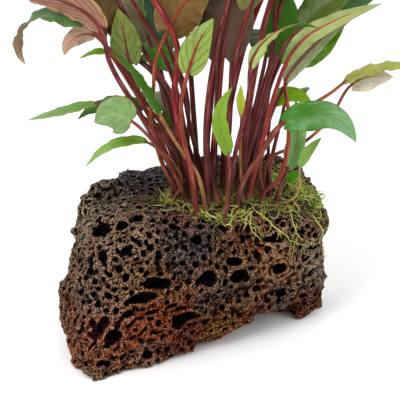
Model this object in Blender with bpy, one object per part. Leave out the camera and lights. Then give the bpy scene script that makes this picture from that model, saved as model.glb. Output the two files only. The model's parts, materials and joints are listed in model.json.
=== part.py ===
"""Cryptocoryne growing on a block of porous lava stone.

A rootstock mat lies on the stone's top, held by moss and by roots that creep down the front face.
Every leaf is one piece: a long stalk that starts on the rootstock and widens into the blade.
Lengths in this file are millimetres. A mesh is scaled to metres as it is made.

Places on the plant are read as someone sees them who looks at it from the front and a little above:
across to the right, up, and then y, the depth in the object's own frame, larger towards the back.
The origin is on the stone's flat underside, X runs to the right, Y to the back and Z up.
"""
import itertools
import math
from collections import namedtuple

import bmesh
import bpy
import numpy as np
from mathutils import Vector
from mathutils.bvhtree import BVHTree

METRES = 0.001
GAP = 0.35
# What the tables call (0, 0, 0) is moved here, so that the origin is at the middle of the underside
TABLES_AT = np.array((6.0, -33.0, 0.0))

# The eye that places are read from
EYE_PITCH = math.radians(18)
EYE_DISTANCE = 800.0
EYE_TARGET = np.array((0.0, 0.0, 78.0))
RIGHT = np.array((1.0, 0.0, 0.0))
AHEAD = np.array((0.0, math.cos(EYE_PITCH), -math.sin(EYE_PITCH)))
UPWARD = np.array((0.0, math.sin(EYE_PITCH), math.cos(EYE_PITCH)))
EYE = EYE_TARGET - EYE_DISTANCE * AHEAD

# The stone: the corners of its rough block, before the edges are rounded and weathered
STONE_CORNERS = (
    (-57, -50, -7), (-40, -43, -6), (9, 1, -6), (21, 21, -6), (68, 54, -6),
    (64, 79, -6), (-44, 80, -6), (-71, 22, -6), (-76, 2, 10), (-70, -29, 9),
    (-57, -38, 36), (-63, -4, 36), (-66, 9, 57), (-64, 20, 69), (-54, 50, 81), (-26, 64, 83),
    (18, 70, 83), (44, 78, 82), (60, 64, 72), (68, 42, 63), (69, 28, 44), (66, 38, 12),
    (-54, -37, 60), (-22, -35, 78), (14, -22, 79), (50, 4, 69), (66, 17, 52),
)
STONE_HEART = np.array((-2.0, 16.0, 38.0))
STONE_REACH = 150.0
EDGE_ROUNDING = 2.2
SEARCH_HALVINGS = 24
# Swellings, ledges and pits in its skin: the size of a wave along X, Y and Z, how far it lifts
# the skin, and its seed. The noise repeats after so many waves, and the origin is that far into it.
NOISE_WAVES = 32
NOISE_START = 100
STONE_WAVES = (
    ((34, 34, 34), 3.0, 11), ((24, 24, 8), 2.4, 12), ((13, 13, 13), 2.0, 13), ((6, 6, 5), 1.5, 14),
)
STONE_FINENESS = 6
STONE_FACES = 3300
# Bites out of the block's outline: centre and half sizes
STONE_BITES = (
    ((-77, -8, 42), (13, 24, 15)),
    ((46, 4, -4), (34, 38, 19)),
    ((-10, -2, 94), (42, 16, 14)),
)
# Hollows on the front, as seen: across, up, half width, half height, turn in degrees, depth
FRONT_HOLLOWS = (
    (-49.5, -15.0, 5.0, 4.6, 20, 9),
    (-39.0, -13.0, 3.6, 2.6, 0, 6),
    (-31.0, -9.0, 2.8, 2.4, 0, 5),
    (-49.0, -28.0, 2.6, 4.2, 10, 6),
    (-55.5, -34.5, 3.8, 6.4, -15, 7),
    (-37.0, -25.5, 4.6, 2.0, 32, 5),
    (-1.5, -20.0, 2.7, 2.5, 0, 5),
    (39.5, -34.5, 5.0, 3.2, 0, 10),
    (5.0, -39.5, 5.4, 4.4, -10, 6),
    (19.5, -38.0, 6.0, 3.8, 0, 6),
    (17.0, -31.0, 4.2, 2.4, 0, 5),
    (-22.0, -41.5, 9.4, 3.2, -4, 5),
    (-28.0, -49.0, 9.0, 2.8, 12, 5),
    (-60.0, -65.0, 3.0, 9.0, -35, 4),
    (-51.0, -66.0, 3.0, 9.4, -30, 4),
    (-43.5, -69.5, 4.4, 5.2, -20, 6),
    (-8.0, -60.0, 9.6, 4.0, 8, 6),
    (40.5, -47.0, 3.4, 2.0, 0, 4),
    (52.0, -48.0, 3.2, 1.8, 0, 4),
    (-26.5, -77.5, 3.2, 2.4, 0, 4),
    (38.0, -19.5, 9.0, 1.8, 4, 4),
    (-57.5, -21.5, 2.2, 2.0, 0, 4),
    (-2.0, -32.2, 2.0, 1.8, 0, 4),
    (39.5, -9.2, 2.0, 1.6, 0, 4),
    (51.0, -15.8, 2.2, 1.6, 0, 4),
    (28.5, -18.5, 1.9, 1.8, 0, 4),
    (28.8, -28.3, 1.8, 2.3, 10, 4),
    (34.0, -50.2, 2.6, 1.7, 0, 3),
    (12.5, -65.2, 3.2, 1.6, 8, 3),
    (-49.5, -81.8, 2.4, 1.8, 20, 4),
    (57.0, -23.0, 3.2, 1.8, 15, 4),
    (-13.5, -13.5, 2.2, 1.6, 0, 3),
    (-20.5, -28.5, 2.6, 1.6, 10, 3),
    (56.5, -35.5, 2.4, 2.0, 0, 4),
    (-36.0, -57.0, 3.8, 1.8, 18, 3),
    (28.0, -44.0, 3.6, 1.6, 12, 3),
)
# Hollows all round the sides and back, scattered by a rule, between an overhang and the top
WILD_HOLLOWS = 32
WILD_HOLLOW_SLOPES = (-0.5, 0.75)
WILD_HOLLOW_SIZE = (3.2, 7.0)
WILD_HOLLOW_SEED = 5
HOLLOW_FACETS = 2

# The rootstock mat and the moss beside it: centre, half sizes, turn in degrees, thickness, seed
PADS = {
    "rootstock": ((12, 3), (32, 18), 12, 3.2, 3),
    "moss_left": ((-27, -4), (8, 13), 8, 3.2, 5),
    "moss_right": ((49, 33), (12, 18), 12, 4.6, 4),
}
PAD_RINGS = 4
PAD_SPOKES = 18
PAD_RIM = 0.9
PAD_GAP = 0.7
# How far a pad's rim wanders from its oval, how lumpy its top is, and how far apart the lumps are
PAD_WANDER = 0.13
PAD_RIM_WAVE = 0.6
PAD_LUMPS = 0.3
PAD_LUMP_WAVE = 7
# Roots that creep down the stone's face, as seen: places from top to tip
ROOTS = {
    "root_1": ((25.0, -8.0), (24.5, -11.0), (26.0, -14.5)),
    "root_2": ((32.5, -9.5), (36.5, -13.0), (42.0, -17.0), (47.0, -21.0)),
    "root_3": ((44.0, -6.0), (46.0, -11.0), (47.5, -15.0), (50.0, -19.0), (57.0, -22.0)),
    "root_4": ((59.0, -12.5), (61.0, -15.5), (59.5, -19.0), (61.0, -24.5)),
}
ROOT_RADIUS = 0.8
ROOT_LIFT = 0.85

# Room for each stalk's foot on the rootstock
FOOT_SPACING = 4.7
FOOT_ROUNDS = 200
# The leaf blade's outline: where it is widest, and how its base and tip draw in
WIDEST = 0.32
BASE_FULLNESS = 0.45
TIP_FULLNESS = 0.95
BLADE_THICKNESS = 1.0
BLADE_FOLD = math.radians(14)
TIP_RADIUS = 0.25
NECK_THINNING = 0.72
# Stations along each leaf, how far the solid's stalk may cut its curve short, and the blade's
# stations that carry a ring of the solid's corners
STALK_STATIONS = 30
BLADE_STATIONS = 16
FINE_STEPS = 12
STALK_STRAIGHTNESS = 0.5
BLADE_RINGS = (1, 4, 7, 10, 13, 15)
# Leaves lean out of each other's way, along the line of sight
CLEARANCE = 1.3
SIDE_STEP = 1.8
YIELD_ROUNDS = 120
YIELD_PASSES = 2
YIELD_SPREAD = 5
YIELD_SMOOTHNESS = 0.6
ROOTED_STATIONS = 4
LOW_STATIONS = 10
# A high place that the blades with no turn of their own face
DAYLIGHT = np.array((12.0, 0.0, 420.0))

Leaf = namedtuple("Leaf", "foot stalk blade width turn radius kind", defaults=(None, 1.3, "green"))

# Each leaf: its foot (x, y), places up the stalk, places along the blade from base to tip, the
# blade's width, how far its base and tip turn their undersides to the eye in degrees, the stalk's
# radius at the foot, and its kind of colour
LEAVES = {
    "leaf_left_1": Leaf(
        (-7, -8), ((-24, 33, -14), (-36.5, 54, -17), (-46, 71, -19)),
        ((-51, 88, -20), (-66, 98.5, -22), (-86, 104, -24), (-106, 107, -22)), 15, (150, 140), 1.6,
        "rose"),
    "leaf_left_2": Leaf(
        (-2, 3), ((-6, 15, 2), (-12, 35, 4), (-21, 61, 4), (-35, 74, 2)),
        ((-46.5, 86, 0), (-51.5, 97, -2), (-64, 113, 0)), 20, (175, 155), 1.8, "dark"),
    "leaf_left_3": Leaf(
        (-9, -2), ((-25, 41, -9), (-32.5, 54, -11), (-42, 69, -12), (-53, 84, -13)),
        ((-61, 90, -14), (-72, 92.5, -15), (-81, 92, -16), (-88, 86, -17), (-91, 77, -17),
         (-86.5, 66, -16)), 13, (10, 160), 1.3, "rose"),
    "leaf_left_4": Leaf(
        (-11, 4), ((-14, 22, 3), (-26, 44, 0), (-43.5, 73, -4)),
        ((-55.5, 83, -6), (-62, 81.5, -8), (-66.5, 77, -9), (-68, 71.5, -10)), 9, (160, 170), 1.0,
        "rose"),
    "leaf_left_5": Leaf(
        (-12, -4), ((-13, 24, -5), (-29, 52, -8), (-39, 69, -10)),
        ((-45, 73.5, -11), (-52, 74, -12), (-60, 71, -12)), 5.5, (60, 60), 0.9, "green"),
    "leaf_left_6": Leaf(
        (-13, -6), ((-12, 18, -5), (-24, 38, -8), (-38, 46.5, -10)),
        ((-53, 48, -12), (-68, 44.5, -13), (-87.5, 39.5, -14)), 6, (50, 40), 1.0, "green"),
    "leaf_left_7": Leaf(
        (-9, 8), ((-10, 20, 6), (-20, 39, 4)),
        ((-31, 47, 2), (-45, 47.5, 0), (-55, 45, -1), (-61.5, 40, -2)), 10, (40, 40), 1.1, "dark"),
    "leaf_left_8": Leaf(
        (-6, -14), ((-14, 15, -18), (-25, 31, -22)),
        ((-34.5, 39.5, -25), (-44, 43, -27), (-54, 38, -28)), 18, (10, 10), 1.1, "pale"),
    "leaf_left_9": Leaf(
        (-13, -11), ((-9, 8, -14), (-19, 24, -16)),
        ((-28.5, 29.5, -17), (-38.5, 29, -18), (-48.5, 25, -18), (-57.5, 16.5, -18)), 6.5,
        (45, 45), 1.0, "green"),
    "leaf_left_10": Leaf(
        (2, -15), ((-1, 12, -18), (-7, 21, -19), (-14, 32, -19)),
        ((-21, 44, -18), (-28, 56, -17), (-36, 67, -17), (-44.5, 73.5, -18)), 8, (60, 55), 1.2,
        "green"),
    "leaf_left_11": Leaf(
        (-8, 10), ((-13, 14, 11),),
        ((-19, 29, 13), (-18, 39, 13), (-17, 47.5, 14)), 8.5, (25, 20), 1.1, "dark"),
    "leaf_left_12": Leaf(
        (-5, 0), ((-11, 25, 0), (-25, 50, 0)),
        ((-35.5, 70, -1), (-38, 83, -2), (-41, 96, -2)), 15, (180, 180), 1.2, "pale"),
    "leaf_left_13": Leaf(
        (-3, 8), ((-6, 20, 8), (-13.5, 51, 8), (-27.5, 73.5, 6), (-40, 98, 0)),
        ((-48, 111, -2), (-58, 112, -6), (-62, 96, -8)), 20, (40, 10), 1.4, "pale"),
    "leaf_left_14": Leaf(
        (1, 10), ((-4, 20, 10), (-14.5, 63.5, 10), (-21, 78, 8), (-34, 100, 5)),
        ((-40, 112, 3), (-52, 129, -2), (-68, 137, -10)), 26, None, 1.4, "dark"),
    "leaf_left_15": Leaf(
        (4, 14), ((-2, 25, 14), (-10, 60, 14)),
        ((-18, 84, 14), (-22, 98, 14), (-28, 118, 12)), 17, (30, 30), 1.2, "dark"),
    "leaf_left_16": Leaf(
        (-7, 16), ((-6, 30, 19), (-7, 55, 21)),
        ((-12, 67, 20), (-22, 71.5, 19), (-32, 70, 17)), 13, (30, 30), 1.1, "green"),
    "leaf_top_1": Leaf(
        (-3, -11), ((-8, 25, -15), (-13, 52, -18), (-12.5, 81, -20), (-24, 100, -21)),
        ((-31, 112, -22), (-42, 130, -28), (-56, 141, -40)), 30, None, 1.9, "rose"),
    "leaf_top_2": Leaf(
        (0, -17), ((-5, 17.5, -21), (-9, 35, -23), (-9, 52.5, -24)),
        ((-5.5, 65, -25), (-1, 78, -26), (7, 91.5, -24)), 14, (180, 175), 1.4, "pale"),
    "leaf_top_3": Leaf(
        (-9, -7), ((-17, 14, -9), (-21.5, 26, -10), (-24.5, 38.5, -12), (-22.5, 60, -13),
                   (-21, 74.5, -14)),
        ((-15, 86.5, -15), (-8, 98, -18), (8, 109, -24)), 22, (180, 180), 1.2, "rose"),
    "leaf_top_4": Leaf(
        (6, -8), ((7, 30, -10), (10, 55, -12)),
        ((11.5, 74, -13), (14, 93, -15), (18, 124, -14)), 25, (180, 175), 1.6, "dark"),
    "leaf_top_5": Leaf(
        (13, -3), ((15, 45, -9), (19, 70, -15), (22, 88, -20)),
        ((25.5, 98, -23), (31, 109, -28), (40, 119, -38)), 20, None, 1.5, "green"),
    "leaf_top_6": Leaf(
        (3, -13), ((4, 50, -17), (10, 80, -18), (14.5, 100, -18)),
        ((19, 113, -16), (25, 134, -17), (32, 148, -24)), 26, None, 1.6, "rose"),
    "leaf_top_7": Leaf(
        (9, -11), ((4, 20, -13), (6, 55, -8), (6, 100, -4)),
        ((4, 112, -4), (-4, 135, -4), (-14, 151, -10)), 26, None, 1.5, "dark"),
    "leaf_top_8": Leaf(
        (12, 4), ((12, 25, 2), (16, 50, 1), (22, 77.5, 1), (29, 96, 1)),
        ((35, 110, 0), (47, 129, -2), (63, 138, -7)), 30, None, 1.9, "green"),
    "leaf_top_9": Leaf(
        (21, -1), ((22, 25, -6), (25, 45.5, -9), (27.5, 65, -11), (35.5, 99, -14)),
        ((41, 112, -16), (55, 125, -20), (74, 127, -28)), 28, None, 1.8, "dark"),
    "leaf_top_10": Leaf(
        (22, 8), ((26, 35, 10), (32.5, 60, 12), (36, 72, 13), (37.5, 98, 14)),
        ((38, 110, 15), (36, 134, 19), (30, 152, 26)), 26, None, 1.3, "green"),
    "leaf_top_11": Leaf(
        (27, 6), ((32, 40, 6), (36.5, 78, 7), (41, 100, 9)),
        ((46, 110, 10), (58, 119, 10), (76, 118, 6)), 24, None, 1.4, "green"),
    "leaf_top_12": Leaf(
        (18, 14), ((22, 25, 14), (29, 52, 14)),
        ((38, 74, 14), (41, 89, 14), (41, 110, 16)), 19, (0, 0), 1.2, "green"),
    "leaf_front_1": Leaf(
        (12, -17), ((14, 8, -21),),
        ((14, 24.5, -24), (11, 32.5, -26), (9.5, 41, -26), (12, 50, -26), (16.5, 57, -25)), 8.5,
        (30, 20), 1.0, "green"),
    "leaf_front_2": Leaf(
        (21, -8), ((20, 25, -13),),
        ((20.5, 44, -14), (20, 51, -14), (20.5, 57.5, -14)), 6, (50, 50), 0.9, "green"),
    "leaf_right_1": Leaf(
        (13, -13), ((17, 20, -18), (21, 38, -22), (25, 58, -26)),
        ((26, 69.5, -28), (31, 77.5, -29), (38, 83.5, -30), (45, 87, -30), (52, 88, -30),
         (59, 86, -30)), 9.5, (150, 50), 1.3, "pale"),
    "leaf_right_2": Leaf(
        (23, -4), ((28, 17.5, -9), (34, 40, -12), (39, 58, -13)),
        ((44, 70, -14), (52.5, 81, -16), (65, 88.5, -17), (79, 94.5, -18), (92, 98.5, -19)), 9,
        (165, 165), 1.4, "rose"),
    "leaf_right_3": Leaf(
        (31, 1), ((31, 3, -2), (38.5, 9, -5), (42.5, 19, -6), (43, 32, -6), (44, 48, -6)),
        ((43, 60, -6), (48.5, 67.5, -7), (57, 76.5, -8), (66, 84.5, -9), (79, 92.5, -10)), 8,
        (160, 150), 1.2, "pale"),
    "leaf_right_4": Leaf(
        (28, 10), ((34, 38, 9), (43, 58, 8)),
        ((52, 69, 8), (62, 78.5, 8), (74.5, 91, 6)), 12, (-15, -15), 1.2, "green"),
    "leaf_right_5": Leaf(
        (24, 15), ((33, 50, 18), (44, 76, 20)),
        ((55, 88, 22), (71, 97, 22), (90, 102, 20)), 20, (-30, -30), 1.4, "dark"),
    "leaf_right_6": Leaf(
        (19, 2), ((25, 25, 0), (34, 55, -1), (42, 77, -2)),
        ((53.5, 89, -3), (64, 98, -4), (78, 104, -6)), 18, (-25, -20), 1.2, "green"),
    "leaf_right_7": Leaf(
        (32, 5), ((30, 18, 3), (35, 32, 1), (54.5, 47, -3), (66, 54, -5)),
        ((75, 60.5, -6), (87, 65, -7), (101, 67.5, -7), (117, 69, -7)), 9, (-55, -65), 1.1,
        "rose"),
    "leaf_right_8": Leaf(
        (31, 11), ((36, 22, 8), (45, 25, 6), (61.5, 37, 3), (70.5, 49, 1)),
        ((77, 58.5, 0), (87, 61.5, -2), (98, 61.5, -3)), 12, (165, 155), 1.0, "rose"),
    "leaf_right_9": Leaf(
        (18, -12), ((20, 5, -17), (29.5, 22, -22), (39.5, 35, -26)),
        ((43, 39, -28), (53, 41.5, -31), (63, 42.5, -33), (71, 39, -35), (79, 27.5, -36)), 14,
        (-5, 0), 1.3, "green"),
    "leaf_right_10": Leaf(
        (34, 12), ((35, 28, 12),),
        ((38, 49, 12), (45, 53, 12), (51.5, 51, 11), (57, 46, 10)), 8, (-20, -20), 1.1, "green"),
    "leaf_right_11": Leaf(
        (38, 8), ((41, 9, 6),),
        ((44.5, 17, 3), (48, 28, 1), (49.5, 40, 0), (47.5, 51.5, 1)), 10, (-20, -20), 1.0,
        "pale"),
    "leaf_right_12": Leaf(
        (36, 4), ((43, -1, -2), (48.5, 3, -6), (50, 10, -8)),
        ((50.5, 18, -9), (55, 25, -10), (61, 31.5, -11)), 6, (-30, -30), 0.8, "green"),
    "leaf_right_13": Leaf(
        (40, 13), ((42, 8, 10),),
        ((44, 10, 9), (48, 12.5, 8), (51, 13.5, 8)), 5.5, (-15, -15), 0.8, "green"),
    "leaf_back_1": Leaf(
        (-8, 17), ((-12, 30, 22), (-18, 58, 32)),
        ((-22, 74, 42), (-27, 84, 58), (-30, 84, 78)), 24, None, 1.4, "green"),
    "leaf_back_2": Leaf(
        (-1, 18), ((-3, 40, 26), (-6, 78, 34)),
        ((-8, 100, 40), (-12, 116, 54), (-16, 122, 74)), 27, None, 1.6, "dark"),
    "leaf_back_3": Leaf(
        (7, 18), ((8, 35, 26), (9, 66, 36)),
        ((10, 82, 46), (10, 91, 64), (8, 90, 84)), 25, None, 1.5, "green"),
    "leaf_back_4": Leaf(
        (13, 20), ((15, 45, 28), (17, 92, 36)),
        ((18, 116, 42), (20, 134, 54), (22, 142, 74)), 28, None, 1.7, "rose"),
    "leaf_back_5": Leaf(
        (20, 20), ((25, 35, 28), (31, 62, 38)),
        ((34, 76, 48), (38, 84, 64), (40, 83, 84)), 24, None, 1.4, "dark"),
    "leaf_back_6": Leaf(
        (27, 18), ((32, 40, 24), (38, 82, 30)),
        ((42, 103, 34), (50, 118, 44), (62, 124, 60)), 26, None, 1.6, "green"),
    "leaf_back_7": Leaf(
        (33, 18), ((37, 26, 24), (41, 42, 34)),
        ((43, 50, 42), (47, 55, 56), (51, 54, 72)), 18, None, 1.2, "green"),
    "leaf_back_8": Leaf(
        (-11, 12), ((-15, 35, 16), (-22, 66, 22)),
        ((-27, 84, 27), (-38, 98, 36), (-52, 103, 50)), 24, None, 1.4, "rose"),
    "leaf_back_9": Leaf(
        (-4, 21), ((-8, 22, 25), (-13, 36, 34)),
        ((-16, 46, 42), (-22, 53, 56), (-27, 53, 72)), 18, None, 1.1, "green"),
}

# Colours: base colour, roughness
FINISHES = {
    "stone": ((0.10, 0.055, 0.035), 0.85),
    "rootstock": ((0.07, 0.05, 0.02), 0.9),
    "moss": ((0.30, 0.36, 0.06), 0.9),
    "root": ((0.45, 0.48, 0.12), 0.7),
    "green": ((0.10, 0.26, 0.05), 0.4),
    "pale": ((0.24, 0.38, 0.16), 0.4),
    "dark": ((0.09, 0.09, 0.045), 0.45),
    "rose": ((0.30, 0.17, 0.13), 0.45),
}


def material(finish):
    """A plain material of one of the finishes."""
    colour, roughness = FINISHES[finish]
    made = bpy.data.materials.new(finish)
    made.use_nodes = True
    shader = made.node_tree.nodes["Principled BSDF"]
    shader.inputs["Base Color"].default_value = (*colour, 1)
    shader.inputs["Roughness"].default_value = roughness
    return made


def add_object(name, shape, finish=None):
    """Turns a bmesh in millimetres into an object in metres, all flat triangles."""
    bmesh.ops.scale(shape, vec=Vector((METRES, METRES, METRES)), verts=shape.verts)
    bmesh.ops.recalc_face_normals(shape, faces=shape.faces)
    bmesh.ops.triangulate(shape, faces=shape.faces)
    mesh = bpy.data.meshes.new(name)
    shape.to_mesh(mesh)
    shape.free()
    made = bpy.data.objects.new(name, mesh)
    made.location = TABLES_AT * METRES
    bpy.context.scene.collection.objects.link(made)
    if finish:
        mesh.materials.append(material(finish))
    return made


def unit(vectors):
    """The vectors at length one."""
    return vectors / np.linalg.norm(vectors, axis=-1, keepdims=True)


def seen(across, up, y):
    """The point at depth y that the eye sees at (across, up)."""
    sight = EYE_DISTANCE * AHEAD + across * RIGHT + up * UPWARD
    return EYE + sight * (y - EYE[1]) / sight[1]


def noise(points, wave, seed):
    """Smooth noise from -1 to 1, which takes a new value every wave millimetres each way."""
    lattice = np.random.default_rng(seed).uniform(-1, 1, (NOISE_WAVES,) * 3)
    place = points / np.array(wave) + NOISE_START
    corner = np.floor(place).astype(int)
    blend = place - corner
    blend = blend * blend * (3 - 2 * blend)
    total = 0
    for step in itertools.product((0, 1), repeat=3):
        weight = np.prod(np.where(step, blend, 1 - blend), axis=-1)
        near = (corner + step) % NOISE_WAVES
        total = total + weight * lattice[near[..., 0], near[..., 1], near[..., 2]]
    return total


def block_faces():
    """The outward normals of the stone's rough block, and how far out each face lies."""
    block = bmesh.new()
    for corner in STONE_CORNERS:
        block.verts.new(corner)
    bmesh.ops.convex_hull(block, input=block.verts)
    bmesh.ops.recalc_face_normals(block, faces=block.faces)
    normals = np.array([face.normal for face in block.faces])
    offsets = np.array([face.normal.dot(face.verts[0].co) for face in block.faces])
    block.free()
    return normals, offsets


BLOCK_NORMALS, BLOCK_OFFSETS = block_faces()


def stone_skin(points):
    """Roughly how far points lie outside the stone; below zero inside it."""
    flats = (points @ BLOCK_NORMALS.T - BLOCK_OFFSETS) / EDGE_ROUNDING
    depth = EDGE_ROUNDING * np.log(np.exp(flats).sum(axis=-1))
    for centre, half_sizes in STONE_BITES:
        inside = 1 - np.linalg.norm((points - centre) / half_sizes, axis=-1)
        depth = np.maximum(depth, inside * min(half_sizes))
    for wave, lift, seed in STONE_WAVES:
        depth = depth + lift * noise(points, wave, seed)
    return depth


def skin_along(starts, directions, reach):
    """How far along each ray the stone's skin lies, between a start inside it and the reach."""
    near = np.zeros(len(directions))
    far = np.full(len(directions), reach)
    for _ in range(SEARCH_HALVINGS):
        middle = (near + far) / 2
        outside = stone_skin(starts + directions * middle[:, None]) > 0
        far = np.where(outside, middle, far)
        near = np.where(outside, near, middle)
    return near


def skin_seen(across, up):
    """The first point of the stone's skin seen at (across, up), or else the nearest to it."""
    sight = unit(EYE_DISTANCE * AHEAD + across * RIGHT + up * UPWARD)
    steps = np.arange(EYE_DISTANCE - STONE_REACH, EYE_DISTANCE + STONE_REACH, 0.5)
    points = EYE + steps[:, None] * sight
    depths = stone_skin(points)
    return points[np.argmax(depths < max(0, depths.min() + 0.1))]


def hollow(name, centre, axes, half_sizes):
    """A cutter for one hollow: an ellipsoid with its own axes, which are three unit rows."""
    shape = bmesh.new()
    bmesh.ops.create_icosphere(shape, subdivisions=HOLLOW_FACETS, radius=1)
    for vertex in shape.verts:
        vertex.co = Vector(centre + (np.array(vertex.co) * half_sizes) @ axes)
    cutter = add_object(name, shape)
    cutter.hide_render = True
    cutter.display_type = "WIRE"
    return cutter


def front_hollows():
    """Centre, axes and half sizes of each hollow that is seen on the front."""
    for across, up, half_width, half_height, turn, depth in FRONT_HOLLOWS:
        turn = math.radians(turn)
        along = math.cos(turn) * RIGHT + math.sin(turn) * UPWARD
        upright = math.cos(turn) * UPWARD - math.sin(turn) * RIGHT
        yield skin_seen(across, up), np.array((along, upright, AHEAD)), (half_width, half_height, depth)


def wild_hollows():
    """Centre, axes and half sizes of the hollows scattered over the sides and back."""
    chance = np.random.default_rng(WILD_HOLLOW_SEED)
    made = 0
    while made < WILD_HOLLOWS:
        way = chance.normal(size=3)
        way = way / np.linalg.norm(way)
        faces_front = way @ AHEAD < 0.1
        if faces_front or not WILD_HOLLOW_SLOPES[0] < way[2] < WILD_HOLLOW_SLOPES[1]:
            continue
        distance = skin_along(STONE_HEART, way[None], STONE_REACH)[0]
        size = chance.uniform(*WILD_HOLLOW_SIZE)
        side = np.cross(way, (0, 0, 1))
        side = side / np.linalg.norm(side)
        axes = np.array((side, np.cross(side, way), way))
        made += 1
        yield STONE_HEART + way * distance, axes, (size, size * chance.uniform(0.5, 0.9), size)


def make_stone():
    """The stone: a weathered block, hollowed and then cut flat where it rests."""
    shape = bmesh.new()
    bmesh.ops.create_icosphere(shape, subdivisions=STONE_FINENESS, radius=1)
    ways = np.array([vertex.co.normalized() for vertex in shape.verts])
    distances = skin_along(STONE_HEART, ways, STONE_REACH)
    for vertex, way, distance in zip(shape.verts, ways, distances):
        vertex.co = Vector(STONE_HEART + way * distance)
    stone = add_object("stone", shape, "stone")

    cutters = bpy.data.collections.new("hollows")
    bpy.context.scene.collection.children.link(cutters)
    for number, placed in enumerate(itertools.chain(front_hollows(), wild_hollows())):
        cutter = hollow(f"hollow_{number}", *placed)
        bpy.context.scene.collection.objects.unlink(cutter)
        cutters.objects.link(cutter)
    hollowed = stone.modifiers.new("hollows", "BOOLEAN")
    hollowed.operand_type = "COLLECTION"
    hollowed.collection = cutters

    faces = len(stone.data.polygons)
    thinned = stone.modifiers.new("facets", "DECIMATE")
    thinned.ratio = STONE_FACES / faces

    ground = bmesh.new()
    bmesh.ops.create_cube(ground, size=2 * STONE_REACH)
    bmesh.ops.translate(ground, vec=Vector((0, 0, -STONE_REACH)), verts=ground.verts)
    below = add_object("ground_cutter", ground)
    below.hide_render = True
    below.display_type = "WIRE"
    flat = stone.modifiers.new("flat_underside", "BOOLEAN")
    flat.object = below
    return stone


def surface_of(made):
    """A tree for finding an object's surface; it works in metres."""
    bpy.context.view_layer.update()
    return BVHTree.FromObject(made, bpy.context.evaluated_depsgraph_get())


def height_on(trees, x, y):
    """The height of the topmost of the surfaces at (x, y)."""
    start = Vector((x, y, STONE_REACH)) * METRES
    hits = [tree.ray_cast(start, Vector((0, 0, -1)))[0] for tree in trees]
    return max((hit.z / METRES for hit in hits if hit), default=0.0)


def highest_near(trees, x, y, reach):
    """The greatest height of the surfaces in a small round patch."""
    patch = [(x, y)]
    for spoke in range(8):
        angle = spoke * math.tau / 8
        patch += [(x + part * reach * math.cos(angle), y + part * reach * math.sin(angle))
                  for part in (0.5, 1)]
    return max(height_on(trees, *place) for place in patch)


def make_pad(name, finish, tree):
    """A cushion of moss or roots that lies on the stone's top."""
    (centre_x, centre_y), half_sizes, turn, thickness, seed = PADS[name]
    turn = math.radians(turn)
    shape = bmesh.new()

    def corner(ring, spoke, is_top):
        angle = spoke * math.tau / PAD_SPOKES
        round_rim = np.array((math.cos(angle), math.sin(angle), 0.0))
        edge = 1 + PAD_WANDER * noise(round_rim, PAD_RIM_WAVE, seed)
        share = ring / PAD_RINGS
        out_x = half_sizes[0] * edge * share * math.cos(angle)
        out_y = half_sizes[1] * edge * share * math.sin(angle)
        x = centre_x + out_x * math.cos(turn) - out_y * math.sin(turn)
        y = centre_y + out_x * math.sin(turn) + out_y * math.cos(turn)
        spacing = max(half_sizes) / PAD_RINGS
        z = highest_near([tree], x, y, 0.55 * spacing) + PAD_GAP
        if is_top:
            lumps = 1 + PAD_LUMPS * noise(np.array((x, y, 0.0)), PAD_LUMP_WAVE, seed)
            z += PAD_RIM + thickness * (1 - share ** 2) * lumps
        return shape.verts.new((x, y, z))

    layers = []
    for is_top in (False, True):
        middle = corner(0, 0, is_top)
        rings = [[corner(ring, spoke, is_top) for spoke in range(PAD_SPOKES)]
                 for ring in range(1, PAD_RINGS + 1)]
        for spoke in range(PAD_SPOKES):
            after = (spoke + 1) % PAD_SPOKES
            shape.faces.new((middle, rings[0][spoke], rings[0][after]))
            for inner, outer in zip(rings, rings[1:]):
                shape.faces.new((inner[spoke], outer[spoke], outer[after], inner[after]))
        layers.append(rings[-1])
    for spoke in range(PAD_SPOKES):
        after = (spoke + 1) % PAD_SPOKES
        shape.faces.new((layers[0][spoke], layers[0][after], layers[1][after], layers[1][spoke]))
    return add_object(name, shape, finish)


def smooth_path(points, count):
    """Evenly spaced points on a smooth curve through the given ones."""
    points = np.array(points, float)
    spans = np.linalg.norm(np.diff(points, axis=0), axis=1)
    knots = np.concatenate(((0,), np.cumsum(spans)))
    slopes = np.gradient(points, knots, axis=0)
    fine = np.linspace(0, knots[-1], FINE_STEPS * len(points))
    span = np.clip(np.searchsorted(knots, fine, side="right") - 1, 0, len(spans) - 1)
    length = spans[span][:, None]
    share = ((fine - knots[span]) / spans[span])[:, None]
    start, end = points[span], points[span + 1]
    curve = ((2 * share ** 3 - 3 * share ** 2 + 1) * start
             + (share ** 3 - 2 * share ** 2 + share) * length * slopes[span]
             + (3 * share ** 2 - 2 * share ** 3) * end
             + (share ** 3 - share ** 2) * length * slopes[span + 1])
    travelled = np.concatenate(((0,), np.cumsum(np.linalg.norm(np.diff(curve, axis=0), axis=1))))
    wanted = np.linspace(0, travelled[-1], count)
    return np.column_stack([np.interp(wanted, travelled, curve[:, axis]) for axis in range(3)])


def spread_feet():
    """Moves the leaves' feet apart, until each has room on the rootstock."""
    feet = np.array([leaf.foot for leaf in LEAVES.values()], float)
    for _ in range(FOOT_ROUNDS):
        away = feet[:, None] - feet[None]
        distance = np.linalg.norm(away, axis=-1) + np.eye(len(feet)) * STONE_REACH
        short = np.clip(FOOT_SPACING - distance, 0, None)
        feet += 0.3 * (away * (short / distance)[..., None]).sum(axis=1)
    return dict(zip(LEAVES, feet))


def blade_half_width(share, width):
    """Half the blade's width at a share of its length from base to tip."""
    share = np.clip(share, 1e-6, 1)
    base = (share / WIDEST) ** BASE_FULLNESS
    tip = ((1 - share) / (1 - WIDEST)) ** TIP_FULLNESS
    return width / 2 * base * tip


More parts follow.
